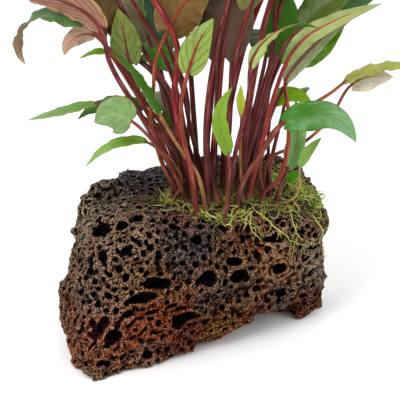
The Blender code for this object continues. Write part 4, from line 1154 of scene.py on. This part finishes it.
def leaf_finish(name, look, length, seed):
    """Upper side, underside, veins, margin and stalk of one leaf."""
    leaf = Finish(name, Coat_Roughness=0.3, Specular_IOR_Level=0.16)
    along, aside, under = (leaf.measure(key) for key in ("along", "aside", "under"))
    stem, rise = leaf.measure("stem"), leaf.measure("rise")
    # Every leaf starts in another part of the noise
    shift = tuple(np.random.default_rng(seed).uniform(0, 50, 3))
    strand = leaf.vector("ADD", leaf.measure("strand", output=1), shift)

    def drawn_out(across, lengthwise):
        """Places for noise that is drawn out along the leaf."""
        return leaf.vector("MULTIPLY", strand, (1 / across, 1 / across, 1 / lengthwise))

    cloud = leaf.noise(drawn_out(5, 11), detail=2)
    flecks = leaf.noise(drawn_out(0.8, 1.4), detail=2)
    streaks = leaf.noise(drawn_out(0.5, 9), detail=2)
    off_rib = leaf.sum("ABSOLUTE", aside)

    # Side veins, then the cross veins between them
    count = max(4, round(length / 7.5))
    climb = along - VEIN_LEAN * off_rib ** 1.15 + (cloud - 0.5) * 0.05
    line = leaf.sum("ABSOLUTE", leaf.sum("FRACT", climb * count) - 0.5)
    side_veins = 1 - line.rise(0.012 * count, 0.5 * count / length)
    steps = along * (length / 2.6) + off_rib * 2.4 + (cloud - 0.5) * 3.0
    cross = leaf.sum("ABSOLUTE", leaf.sum("FRACT", steps) - 0.5)
    cross_veins = (1 - cross.rise(0.0, 0.09)) * 0.3
    fading = off_rib.rise(0.8, 0.98, 1, 0) * along.rise(0.82, 1.0, 1, 0) * (1 - stem)
    veins = leaf.sum("MAXIMUM", side_veins, cross_veins) * fading
    rib = (1 - off_rib.rise(0.035, 0.085)) * along.rise(0.6, 1.0, 1.0, 0.35)
    margin = off_rib.rise(0.93, 0.985)

    # Lengthwise stripes, as the light shows them between the veins
    stripes = leaf.noise(drawn_out(1.1, 16), detail=1).rise(0.42, 0.62)
    upper = leaf.layers(
        paint(*look.upper),
        # Toward the tip the far colour, which on right_9 is a painted sheen
        (along.rise(0.25, 0.8), paint(*look.far)),
        (veins * (0.1 + 0.25 * look.vein), stain(look.upper, 0.66)),
        (rib * 0.5, paint(*look.rib)),
    )
    below = leaf.layers(
        paint(*look.under),
        (stripes * look.vein * 0.28, stain(look.under, 0.62, look.rib, 0.3)),
        (veins * look.vein * 0.9, stain(look.under, 0.3, look.rib, 0.65)),
        (rib, paint(*look.rib)),
    )
    blade = leaf.layers(
        upper,
        (under, below),
        (margin * 0.8, paint(*look.margin)),
        (cloud.rise(0.5, 0.8) * 0.5 * look.vein, stain(look.upper, 0.62, (26, 10, 2))),
        # Pale patches of painted sheen on the upper side
        (cloud.rise(0.5, 0.25) * 0.3 * (1 - under), stain(look.far, 1.2)),
    )

    # The stalk has stripes of painted pink highlight and of painted shade, painted shade on its
    # lower third, and a pale sheath at its foot
    stalk = leaf.layers(
        paint(*look.stalk),
        (streaks.rise(0.5, 0.68) * 0.75, stain(look.stalk, 0.9, (84, 66, 68))),
        (streaks.rise(0.48, 0.32) * 0.8, stain(look.stalk, 0.42)),
        (rise.rise(0.02, 0.36, 0.75, 0.0), paint(64, 22, 24)),
        (rise.rise(0.0, 0.08, 0.55, 0.0), leaf.mix(flecks, paint(96, 62, 44), paint(158, 122, 84))),
        (along.rise(0.0, 0.5), paint(*look.rib)),
    )
    colour = leaf.layers(blade, (stem, stalk), ((flecks - 0.5) * 0.3 + 0.03, paint(30, 26, 14)))
    colour = leaf.node("HueSaturation", {}, {"Saturation": 1.09, "Color": colour})
    gloss = 0.36 + flecks * 0.16 + under * 0.08
    relief = (flecks - 0.5) * 0.3 + (streaks - 0.5) * stem * 0.8 - veins * (1 - under) * 0.8
    relief = relief + veins * under * 0.8
    return leaf.finish(colour, gloss, relief, depth=0.22, Coat_Weight=0.12 * (1 - stem) + 0.03)


print("side veins lean", VEIN_LEAN, "of the blade's length")

# %% [markdown]
# ## Growing a leaf
# The stalk is a round tube along the smooth line of the solid. It is flared at the foot, where
# it sheathes the next stalk, and runs on under the blade as its midrib. The blade is two sheets
# with a rim between them. Its base is drawn back beside the stalk into two lobes, its halves rise
# from the midrib, and its margin waves a little.

# %% the outline
WIDEST, BASE_FULLNESS, TIP_FULLNESS = 0.32, 0.45, 0.95
BLADE_ROWS, BLADE_COLUMNS = 38, 17


def blade_width(share):
    """The blade's half width at a share of its length, as a share of its widest."""
    share = np.clip(share, 0, 1)
    base = ((share + 0.012) / WIDEST) ** BASE_FULLNESS
    return base * ((1.0005 - share) / (1 - WIDEST)) ** TIP_FULLNESS


print("width near the base:", blade_width(np.array((0, 0.1, 0.3))).round(2))


# %% quads of a sheet
def sheet_faces(rows, columns, start=0):
    """The faces of a sheet of points in rows and columns."""
    index = start + np.arange(rows * columns).reshape(rows, columns)
    return np.stack((index[:-1, :-1], index[:-1, 1:], index[1:, 1:], index[1:, :-1]),
                    axis=-1).reshape(-1, 4)


def rim_of(rows, columns):
    """The outer points of a sheet, in order round it."""
    index = np.arange(rows * columns).reshape(rows, columns)
    return np.concatenate((index[0], index[1:, -1], index[-1, -2::-1], index[-2:0:-1, 0]))


print("a blade's rim has", len(rim_of(BLADE_ROWS, BLADE_COLUMNS)), "points")


# %% the blade
def grow_blade(spine, look, chance):
    """Points and faces of a blade, and what its finish needs to know."""
    rows, columns = BLADE_ROWS, BLADE_COLUMNS
    start, end = spine.knots[spine.neck], spine.knots[-1]
    length = end - start
    share = np.linspace(0, 1, rows) ** 1.25
    line = smooth_through(spine.knots, spine.line, start + share * length)
    # The upper side's direction is known at the six rings, and at the base it is the first one's
    known = np.concatenate(((0,), BLADE_SHARES))
    out = smooth_through(known, np.concatenate((spine.out[:1], spine.out)), share)
    way = unit(np.gradient(line, axis=0))
    out = square_to(way, out)
    aside = np.cross(way, out)

    edge = np.linspace(-1, 1, columns)
    edge = np.sign(edge) * np.abs(edge) ** 1.1
    width = spine.half * blade_width(share)
    width[0] = max(width[0], min(0.34 * spine.half, width[1]))
    lobes = look.lobes * min(1, spine.half / 9)
    back = -lobes * np.abs(edge) ** 1.4 * np.clip(1 - share / 0.3, 0, 1)[:, None] ** 2
    waves = 0
    for side in (-1, 1):
        phase, beat = chance.uniform(0, math.tau), chance.uniform(8, 12)
        swell = np.sin(share[:, None] * length * math.tau / beat + phase)
        swell = swell + 0.5 * np.sin(share[:, None] * length * math.tau / (beat * 0.43) + 2 * phase)
        waves = waves + np.where(edge * side > 0, swell, 0)
    waves = waves * look.waves * np.abs(edge) ** 2.2 * np.minimum(1, width / 5)[:, None]
    arch = FOLD * (np.sqrt(edge ** 2 + 0.03) - 0.17)
    curl = -0.10 * np.abs(edge) ** 5
    lift = width[:, None] * (arch + curl) + waves
    middle = (line[:, None] + edge[:, None] * (width[:, None, None] * aside[:, None])
              + back[..., None] * way[:, None] + lift[..., None] * out[:, None])
    normal = unit(np.cross(np.gradient(middle, axis=1), np.gradient(middle, axis=0)))
    normal = normal * np.sign((normal * out[:, None]).sum(axis=-1, keepdims=True))
    thick = (0.16 + 0.14 * (1 - np.abs(edge)))[:, None] * np.ones((rows, columns, 1))
    top, bottom = (middle + thick * normal).reshape(-1, 3), (middle - thick * normal).reshape(-1, 3)

    faces = sheet_faces(rows, columns)
    loop = rim_of(rows, columns)
    after = np.roll(loop, -1)
    sheet = rows * columns
    rim = np.stack((loop, loop + sheet, after + sheet, after), axis=-1)
    faces = np.concatenate((faces, faces[:, ::-1] + sheet, rim))
    along = np.repeat(share, columns)
    sides = np.tile(edge, rows)
    strand = np.stack((sides * np.repeat(width, columns), 0 * sides, along * length), axis=1)
    both = {
        "along": np.tile(along, 2), "aside": np.tile(sides, 2), "strand": np.tile(strand, (2, 1)),
        "under": np.repeat((0.0, 1.0), sheet), "stem": np.zeros(2 * sheet),
        "rise": np.ones(2 * sheet),
    }
    return np.concatenate((top, bottom)), faces, both, (line, out, share)


print("a blade has", 4 * BLADE_ROWS * BLADE_COLUMNS, "triangles or so")

# %% the stalk
STALK_RINGS, STALK_SIDES = 46, 10
RIB_END = 0.86


def grow_stalk(spine, blade_line):
    """Points and faces of a stalk that runs on under the blade as its midrib."""
    line, out, share = blade_line
    start = spine.knots[spine.neck]
    wanted = np.linspace(0, start, STALK_RINGS)
    rise = wanted / start
    path = smooth_through(spine.knots, spine.line, wanted)
    radius = spine.radius * (1 - 0.28 * rise) * (1 + 0.3 * np.exp(-wanted / 4.0))
    kept = (share > 0.01) & (share < RIB_END)
    rib_share = share[kept]
    rib_radius = np.maximum(radius[-1] * (1 - rib_share / RIB_END) ** 0.8 * 0.85, 0.05)
    rib = line[kept] - (rib_radius * 0.55)[:, None] * out[kept]
    path = np.concatenate((path, rib))
    radius = np.concatenate((radius, rib_radius))
    points, faces = tubes(path[None], radius[None], STALK_SIDES)
    travelled = np.concatenate((wanted, start + rib_share * (spine.knots[-1] - start)))
    turn = np.tile(np.arange(STALK_SIDES) * math.tau / STALK_SIDES, len(path))
    widths = np.repeat(radius, STALK_SIDES)
    strand = np.stack((np.cos(turn) * widths, np.sin(turn) * widths,
                       np.repeat(travelled, STALK_SIDES)), axis=1)
    count = len(points)
    along = np.repeat(np.concatenate((np.zeros(len(wanted)), rib_share)), STALK_SIDES)
    measures = {
        "along": along, "aside": np.zeros(count), "strand": strand, "under": np.ones(count),
        "stem": np.ones(count),
        "rise": np.repeat(np.concatenate((rise, np.ones(kept.sum()))), STALK_SIDES),
    }
    return points, faces, measures


print("the midrib ends", RIB_END, "of the way to the tip")

# %% grow every leaf
total = 0
for number, (name, spine) in enumerate(spines.items()):
    look = look_of(name)
    chance = np.random.default_rng(100 + number)
    blade_points, blade_faces, blade_measures, blade_line = grow_blade(spine, look, chance)
    stalk_points, stalk_faces, stalk_measures = grow_stalk(spine, blade_line)
    points, faces = join((blade_points, blade_faces), (stalk_points, stalk_faces))
    measures = {key: np.concatenate((blade_measures[key], stalk_measures[key]))
                for key in blade_measures}
    length = spine.knots[-1] - spine.knots[spine.neck]
    material = leaf_finish(name + "_finish", look, length, number)
    add_piece(name + "_grown", points, faces, material, slots[name], [name], **measures)
    total += 2 * len(faces)
print(len(spines), "leaves grown, with", total, "triangles")

# %% [markdown]
# ## Threads
# Moss and fine roots are threads about half a millimetre thick. Particle hair would look right
# but isn't a mesh, so every thread is a thin three-sided tube along a wandering path. All paths
# of a cushion grow at once: each step turns a little at random, and wherever a thread would
# enter the stone or rise out of the cushion, it is pushed back.


# %% wandering paths
def grow_threads(starts, ways, steps, stride, restlessness, floor_gap, ceiling, seed):
    """Paths that creep over the stone from their starts, no higher than the ceiling."""
    chance = np.random.default_rng(seed)
    here, way = starts.copy(), unit(ways)
    paths = [here.copy()]
    curl = chance.normal(size=here.shape)
    for _ in range(steps):
        curl = 0.6 * curl + 0.8 * chance.normal(size=here.shape)
        way = unit(way + restlessness * curl)
        here = here + np.reshape(stride, (-1, 1)) * way
        depth = stone_skin(here)
        slope = skin_slope(here)
        low = np.clip(floor_gap - depth, 0, 3)[:, None]
        high = np.clip(depth - ceiling, 0, 3)[:, None]
        here = here + (low - 0.6 * high) * slope
        way = unit(way + (0.5 * low - 0.4 * high) * slope)
        paths.append(here.copy())
    return np.stack(paths, axis=1)


# The shade that tells the finish that a point is part of a core and not of a thread
CORE_SHADE = -1.0


def add_threads(name, paths, radii, material, slot, replaced=(), seed=0, core=None):
    """A piece made of thin tapering tubes, each with its own shade, over a core if it has one."""
    count, length = paths.shape[:2]
    taper = np.linspace(1, 0.45, length)
    points, faces = tubes(paths, np.reshape(radii, (-1, 1)) * taper, 3)
    shade = np.repeat(np.random.default_rng(seed).uniform(size=count), length * 3)
    tip = np.tile(np.repeat(np.linspace(0, 1, length), 3), count)
    if core:
        points, faces = join((points, faces), core)
        shade = np.concatenate((shade, np.full(len(core[0]), CORE_SHADE)))
        tip = np.concatenate((tip, np.zeros(len(core[0]))))
    add_piece(name, points, faces, material, slot, replaced, shade=shade, tip=tip)


print("threads keep clear of the stone's skin")


# %% the finish of threads
def thread_finish(name, dark, middle, light, core):
    """Threads from dark to light, and the dark tangle below them."""
    thread = Finish(name, Specular_IOR_Level=0.15, Coat_Roughness=0.3)
    shade, tip = thread.measure("shade"), thread.measure("tip")
    flecks = thread.noise(thread.place(1.6), detail=2)
    mixed = shade * 0.7 + (flecks - 0.5) * 0.8 + tip * 0.15
    # The ground between the threads is crumbly like the stone, with near-black specks of painted
    # shade in its hollows
    crumbs = thread.noise(thread.place(1.1), detail=3, roughness=0.7)
    ground = thread.layers(
        paint(*core),
        (crumbs.rise(0.46, 0.62), stain(core, 2.4, (14, 14, 14))),
        (crumbs.rise(0.46, 0.38), paint(8, 5, 4)),
    )
    below = shade.rise(-0.5, -0.1, 1, 0)
    colour = thread.layers(
        paint(*dark),
        (mixed.rise(0.0, 0.4), paint(*middle)),
        (mixed.rise(0.4, 0.8), paint(*light)),
        (below, ground),
    )
    relief = flecks * 0.2 + crumbs * below
    return thread.finish(colour, 0.5 + flecks * 0.2, relief, depth=0.9, Coat_Weight=flecks * 0.2)


# Dark, middle, light and core
THREAD_COLOURS = {
    "moss_threads": ((106, 118, 22), (204, 210, 76), (250, 248, 170), (44, 29, 18)),
    "old_moss_threads": ((66, 42, 28), (104, 78, 52), (176, 160, 96), (30, 23, 18)),
    "rootstock_threads": ((78, 56, 22), (184, 184, 62), (246, 244, 150), (40, 25, 16)),
    "root_threads": ((126, 126, 44), (192, 192, 88), (236, 232, 156), (150, 140, 70)),
    "grassy_blades": ((72, 132, 24), (120, 184, 46), (168, 214, 84), (60, 100, 24)),
}
moss_finish, old_moss_finish, mat_finish, root_finish, grass_finish = [
    thread_finish(name, *colours) for name, colours in THREAD_COLOURS.items()]
print(len(THREAD_COLOURS), "finishes for threads")

# %% [markdown]
# ## The rootstock and the moss
# Three ovals of threads lie on the stone. Under those of the rootstock and of the right cushion
# is a felted core, a low lumpy mound that follows the stone and shows as dark ground between the
# threads. The left cushion has only a few brown threads on the bare stone.

# %% the cores
# Centre, half sizes, turn in degrees and seed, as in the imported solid
PADS = {
    "rootstock": ((12, 3), (32, 18), 12, 3),
    "moss_left": ((-27, -4), (8, 13), 8, 5),
    "moss_right": ((49, 33), (12, 18), 12, 4),
}
PAD_SPOKES, PAD_RINGS = 64, 20
PAD_RIM = 0.96
LEAST_LEVEL = 0.62
INSIDE_STONE = 42.0


def pad_places(name, share, angle):
    """Places in a cushion's oval, at a share of the way to its rim."""
    centre, half_sizes, turn, seed = PADS[name]
    turn = math.radians(turn)
    rim = np.stack((np.cos(angle), np.sin(angle), 0 * angle), axis=-1)
    edge = share * (1 + 0.13 * wander(rim, 0.6, seed))
    x, y = half_sizes[0] * edge * rim[..., 0], half_sizes[1] * edge * rim[..., 1]
    return (centre[0] + x * math.cos(turn) - y * math.sin(turn) + STONE_AT[0],
            centre[1] + x * math.sin(turn) + y * math.cos(turn) + STONE_AT[1])


def top_of_stone(x, y):
    """The stone's skin straight below or above places on its top."""
    starts = np.stack((x, y, np.full(x.shape, INSIDE_STONE)), axis=-1).reshape(-1, 3)
    return skin_along(starts, np.tile((0.0, 0.0, 1.0), (len(starts), 1))).reshape(*x.shape, 3)


def is_level(ground):
    """Whether the stone slopes gently enough there for a cushion to lie on it."""
    return skin_slope(ground)[..., 2] > LEAST_LEVEL


def pad_core(name, height):
    """Points and faces of a cushion's felted core."""
    share = np.linspace(0.02, PAD_RIM, PAD_RINGS)[:, None]
    angle = np.arange(PAD_SPOKES)[None] * math.tau / PAD_SPOKES
    share, angle = np.broadcast_arrays(share, angle)
    # A spoke ends where the stone falls away under it
    falls = np.cumsum(~is_level(top_of_stone(*pad_places(name, share, angle))), axis=0) > 0
    last_level = np.maximum(falls.argmax(axis=0) - 1, 0)
    ends = np.where(falls.any(axis=0), share[last_level, 0], PAD_RIM)
    share = share * ends / PAD_RIM
    ground = top_of_stone(*pad_places(name, share, angle))
    lumps = 0.7 * wander(ground, 3.2, 51) + 0.35 * wander(ground, 1.3, 52)
    rise = height * (1 - share ** 3) * (1 + 0.5 * lumps) + 0.4 * lumps - 0.3
    above = ground + rise[..., None] * (0, 0, 1)
    below = ground - (0, 0, 1.2)
    points = np.concatenate((above.reshape(-1, 3), below.reshape(-1, 3)))
    index = np.arange(PAD_RINGS * PAD_SPOKES).reshape(PAD_RINGS, PAD_SPOKES)
    after = np.roll(index, -1, axis=1)
    top = np.stack((index[:-1], index[1:], after[1:], after[:-1]), axis=-1).reshape(-1, 4)
    size = PAD_RINGS * PAD_SPOKES
    rim = np.stack((index[-1], index[-1] + size, after[-1] + size, after[-1]), axis=-1)
    hub = np.stack((index[0], after[0], after[0] + size, index[0] + size), axis=-1)
    return points, np.concatenate((top, top[:, ::-1] + size, rim, hub))


print("a core has", 2 * PAD_RINGS * PAD_SPOKES, "points")

# %% cushions of threads
THREADS_PER_FOOT = 24
GRASS_BLADES = 46
STRAY_THREADS = 0.12
# Where stalks' feet stand at the front, as seen
FRONT_FEET = ((-2.5, -8), (12, -9.5), (3, -5), (-9, -2.5), (-15, -1.5), (19, -6.5))


def pad_threads(name, count, steps, stride, restlessness, ceiling, seed, reach=0.95):
    """Wandering paths that start all over a cushion."""
    chance = np.random.default_rng(seed)
    share, angle = reach * np.sqrt(chance.uniform(size=count)), chance.uniform(0, math.tau, count)
    ground = top_of_stone(*pad_places(name, share, angle))
    # They grow in clumps, and few reach the front edge
    clumped = wander(ground, 5, seed) + 0.05 * (ground[:, 1] - ground[:, 1].mean()) > 0
    kept = is_level(ground) & (clumped | (chance.uniform(size=count) < STRAY_THREADS))
    ground, share, count = ground[kept], share[kept], kept.sum()
    height = chance.uniform(0.3, 0.8, count) * ceiling * (1 - share ** 2)
    starts = ground + height[:, None] * (0, 0, 1)
    ways = chance.normal(size=(count, 3)) * (1, 1, 0.45) + (0, -0.15, 0.1)
    strides = stride * chance.uniform(0.6, 1.2, count)
    return grow_threads(starts, ways, steps, strides, restlessness, floor_gap=0.25,
                        ceiling=ceiling, seed=seed + 1)


chance = np.random.default_rng(61)
left = pad_threads("moss_left", count=90, steps=11, stride=1.0, restlessness=0.4, ceiling=1.2,
                   seed=71)
add_threads("moss_left_tuft", left, chance.uniform(0.16, 0.26, len(left)), old_moss_finish, "moss",
            ["moss_left"], seed=72)
right = pad_threads("moss_right", count=560, steps=15, stride=1.15, restlessness=0.45, ceiling=5.4,
                    seed=73)
add_threads("moss_right_tuft", right, chance.uniform(0.22, 0.4, len(right)), moss_finish, "moss",
            ["moss_right"], seed=74, core=pad_core("moss_right", height=2.6))
crown = pad_threads("rootstock", count=560, steps=13, stride=1.2, restlessness=0.42, ceiling=4.0,
                    seed=75, reach=0.97)
# More of them wrap the feet that stand at the front
feet = np.repeat([skin_seen(*place) for place in FRONT_FEET], THREADS_PER_FOOT, axis=0)
feet = feet + chance.normal(size=feet.shape) * (2.4, 1.0, 0.8) + (0, -1.6, 1.0)
ways = chance.normal(size=feet.shape) * (1, 0.5, 0.6) + (0, -0.3, 0.3)
wraps = grow_threads(feet, ways, steps=13, stride=0.8, restlessness=0.45, floor_gap=0.25,
                     ceiling=4.6, seed=79)
crown = np.concatenate((crown, wraps))
add_threads("rootstock_mat", crown, chance.uniform(0.2, 0.38, len(crown)), mat_finish, "rootstock",
            ["rootstock"], seed=76, core=pad_core("rootstock", height=2.2))
# Short grassy blades stand in a tuft on the right
tuft = chance.uniform((50, -6), (58, 2), (GRASS_BLADES, 2))
tuft = np.array([skin_seen(*place) for place in tuft])
ways = chance.normal(size=tuft.shape) * 0.5 + (0, -0.2, 1)
blades = grow_threads(tuft, ways, steps=7, stride=0.85, restlessness=0.16, floor_gap=0.4,
                      ceiling=6.0, seed=77)
add_threads("grassy_tuft", blades, chance.uniform(0.35, 0.55, len(blades)), grass_finish, "moss",
            seed=78)
print(len(left) + len(right) + len(crown), "threads in the cushions")

# %% [markdown]
# ## Roots down the front
# Pale roots leave the moss and feel their way down the front of the stone. Each is laid through
# a few places seen on the front, set on the skin there, and made to wander a little. Side roots
# branch from it.

# %% roots
ROOT_STEPS, FINE_ROOT_STEPS = 48, 40
# As seen, across and up, from top to tip
ROOTS = {
    "root_1": ((25, -1.5), (25, -8), (24.5, -11), (26, -14.5), (30, -20)),
    "root_2": ((24, -5), (32.5, -9.5), (36.5, -13), (42, -17), (47, -21), (54, -22.5)),
    "root_3": ((44, -3), (46, -11), (47.5, -15), (50, -19), (57, -22)),
    "root_4": ((56, -8), (59, -12.5), (61, -15.5), (59.5, -19), (62, -26.5)),
}
FINE_ROOTS = (
    ((50, -3), (53, -6), (57, -8.5), (62, -10.5)), ((45, -7), (49, -9), (54, -10), (60, -11)),
    ((46, -4), (49, -8), (50, -12)), ((52, -5), (56, -9), (59, -12), (60, -18)),
    ((60, -21), (62, -25), (64.5, -31), (65.5, -38)), ((47.5, -16), (46, -19), (45, -23)),
    ((20, -6), (23, -9), (24.5, -11), (29, -14), (30.5, -19)), ((26, -10), (30, -14.5), (32, -19)),
    ((-2, -3), (4, -6), (12, -9), (18, -10.5), (24, -9)), ((3, -4), (5, -7), (6, -9)),
    ((-18, -3), (-24, -3), (-28, -5), (-31, -8)), ((-12, -4), (-17, -6), (-20, -5)),
    ((38, -13), (40, -16), (41, -19)), ((-8, -6), (0, -8), (8, -9), (16, -8)),
    ((54, -1), (60, -2), (64, -1)), ((44, -2), (40, -5), (36, -4), (30, -3)),
)


def laid_path(places, count, lift, seed, wobble=0.5):
    """A wandering path through places seen on the front, a little way off the skin."""
    corners = np.array([skin_seen(*place) for place in places])
    knots = travelled_along(corners)
    path = smooth_through(knots, corners, np.linspace(0, knots[-1], count))
    for wave in (4, 1.7):
        path = path + wobble * shaking(path, wave, seed) * wave / 4
    for _ in range(3):
        path = path + (lift - stone_skin(path))[:, None] * 0.8 * skin_slope(path)
    return path


def side_roots(path, count, seed):
    """Short thin paths that branch from a root."""
    chance = np.random.default_rng(seed)
    starts = path[chance.integers(2, len(path) - 1, count)]
    ways = chance.normal(size=(count, 3)) + (0, 0, -0.7)
    strides = chance.uniform(0.5, 1.0, count)
    return grow_threads(starts, ways, steps=11, stride=strides, restlessness=0.3, floor_gap=0.3,
                        ceiling=1.0, seed=seed + 1)


for number, (name, places) in enumerate(ROOTS.items()):
    path = laid_path(places, ROOT_STEPS, lift=0.55, seed=80 + number)
    radii = np.linspace(0.62 if name == "root_1" else 0.46, 0.2, ROOT_STEPS)
    thick = tubes(path[None], radii[None], sides=8)
    twigs = side_roots(path, count=5, seed=90 + number)
    twig_radii = np.tile(np.linspace(0.24, 0.1, twigs.shape[1]), (len(twigs), 1))
    points, faces = join(thick, tubes(twigs, twig_radii, sides=4))
    add_piece(name + "_grown", points, faces, root_finish, "root", [name],
              shade=np.full(len(points), 0.6), tip=np.linspace(0, 1, len(points)))

fine = np.array([laid_path(places, FINE_ROOT_STEPS, lift=0.35, seed=200 + number, wobble=0.7)
                 for number, places in enumerate(FINE_ROOTS)])
add_threads("fine_roots", fine, np.random.default_rng(3).uniform(0.2, 0.34, len(fine)),
            root_finish, "root", seed=4)
print(len(ROOTS) + len(FINE_ROOTS), "roots")

# %% [markdown]
# ## The studio
# The plant stands on a wide pale floor in soft light, as for a catalogue. The world is plain
# white, which lights every side and makes the background. Two large soft lamps, one high in
# front on the left and a weaker one on the right, give the leaves their sheen and the stone
# its depth.

# %% floor, light and camera
FLOOR_SIDE = 12.0
PLANT_MIDDLE = Vector((0, 0, 0.08))


def add_lamp(name, place, size, power):
    """A large soft square lamp that looks at the plant."""
    lamp = bpy.data.lights.new(name, "AREA")
    lamp.size, lamp.energy = size, power
    made = put_in_scene(name, lamp)
    made.location = place
    made.rotation_mode = "QUATERNION"
    made.rotation_quaternion = (PLANT_MIDDLE - Vector(place)).to_track_quat("-Z", "Y")


floor_finish = Finish("studio_floor")
floor_noise = floor_finish.noise(floor_finish.place(40), detail=2)
floor_finish.finish(floor_finish.mix(floor_noise, (0.93, 0.93, 0.93, 1), (0.97, 0.97, 0.97, 1)), 0.9)
floor_mesh = bpy.data.meshes.new("studio_floor")
floor_corners = np.array(((-1, -1, 0), (1, -1, 0), (1, 1, 0), (-1, 1, 0))) * FLOOR_SIDE / 2
floor_mesh.from_pydata(floor_corners.tolist(), [], [(0, 1, 2, 3)])
floor_mesh.materials.append(floor_finish.material)
studio_floor = put_in_scene("studio_floor", floor_mesh)
# A hair below the stone, so that the two never lie in one plane
studio_floor.location.z = -0.0005

world = bpy.data.worlds.new("studio")
world.use_nodes = True
background = world.node_tree.nodes["Background"]
background.inputs["Color"].default_value = (1, 1, 1, 1)
background.inputs["Strength"].default_value = 1.0
bpy.context.scene.world = world
add_lamp("soft_left", (-0.5, -0.8, 0.75), size=0.5, power=9)
add_lamp("soft_right", (0.7, -0.5, 0.45), size=0.5, power=2.5)
bpy.context.scene.view_settings.view_transform = "Standard"

camera = put_in_scene("camera", bpy.data.cameras.new("camera"))
camera.data.lens = 144
camera.data.clip_end = 20
camera.location = EYE * MM
camera.rotation_euler = (math.radians(90) - EYE_PITCH, 0, 0)
bpy.context.scene.camera = camera
print("the camera is", round(EYE_DISTANCE), "mm away")
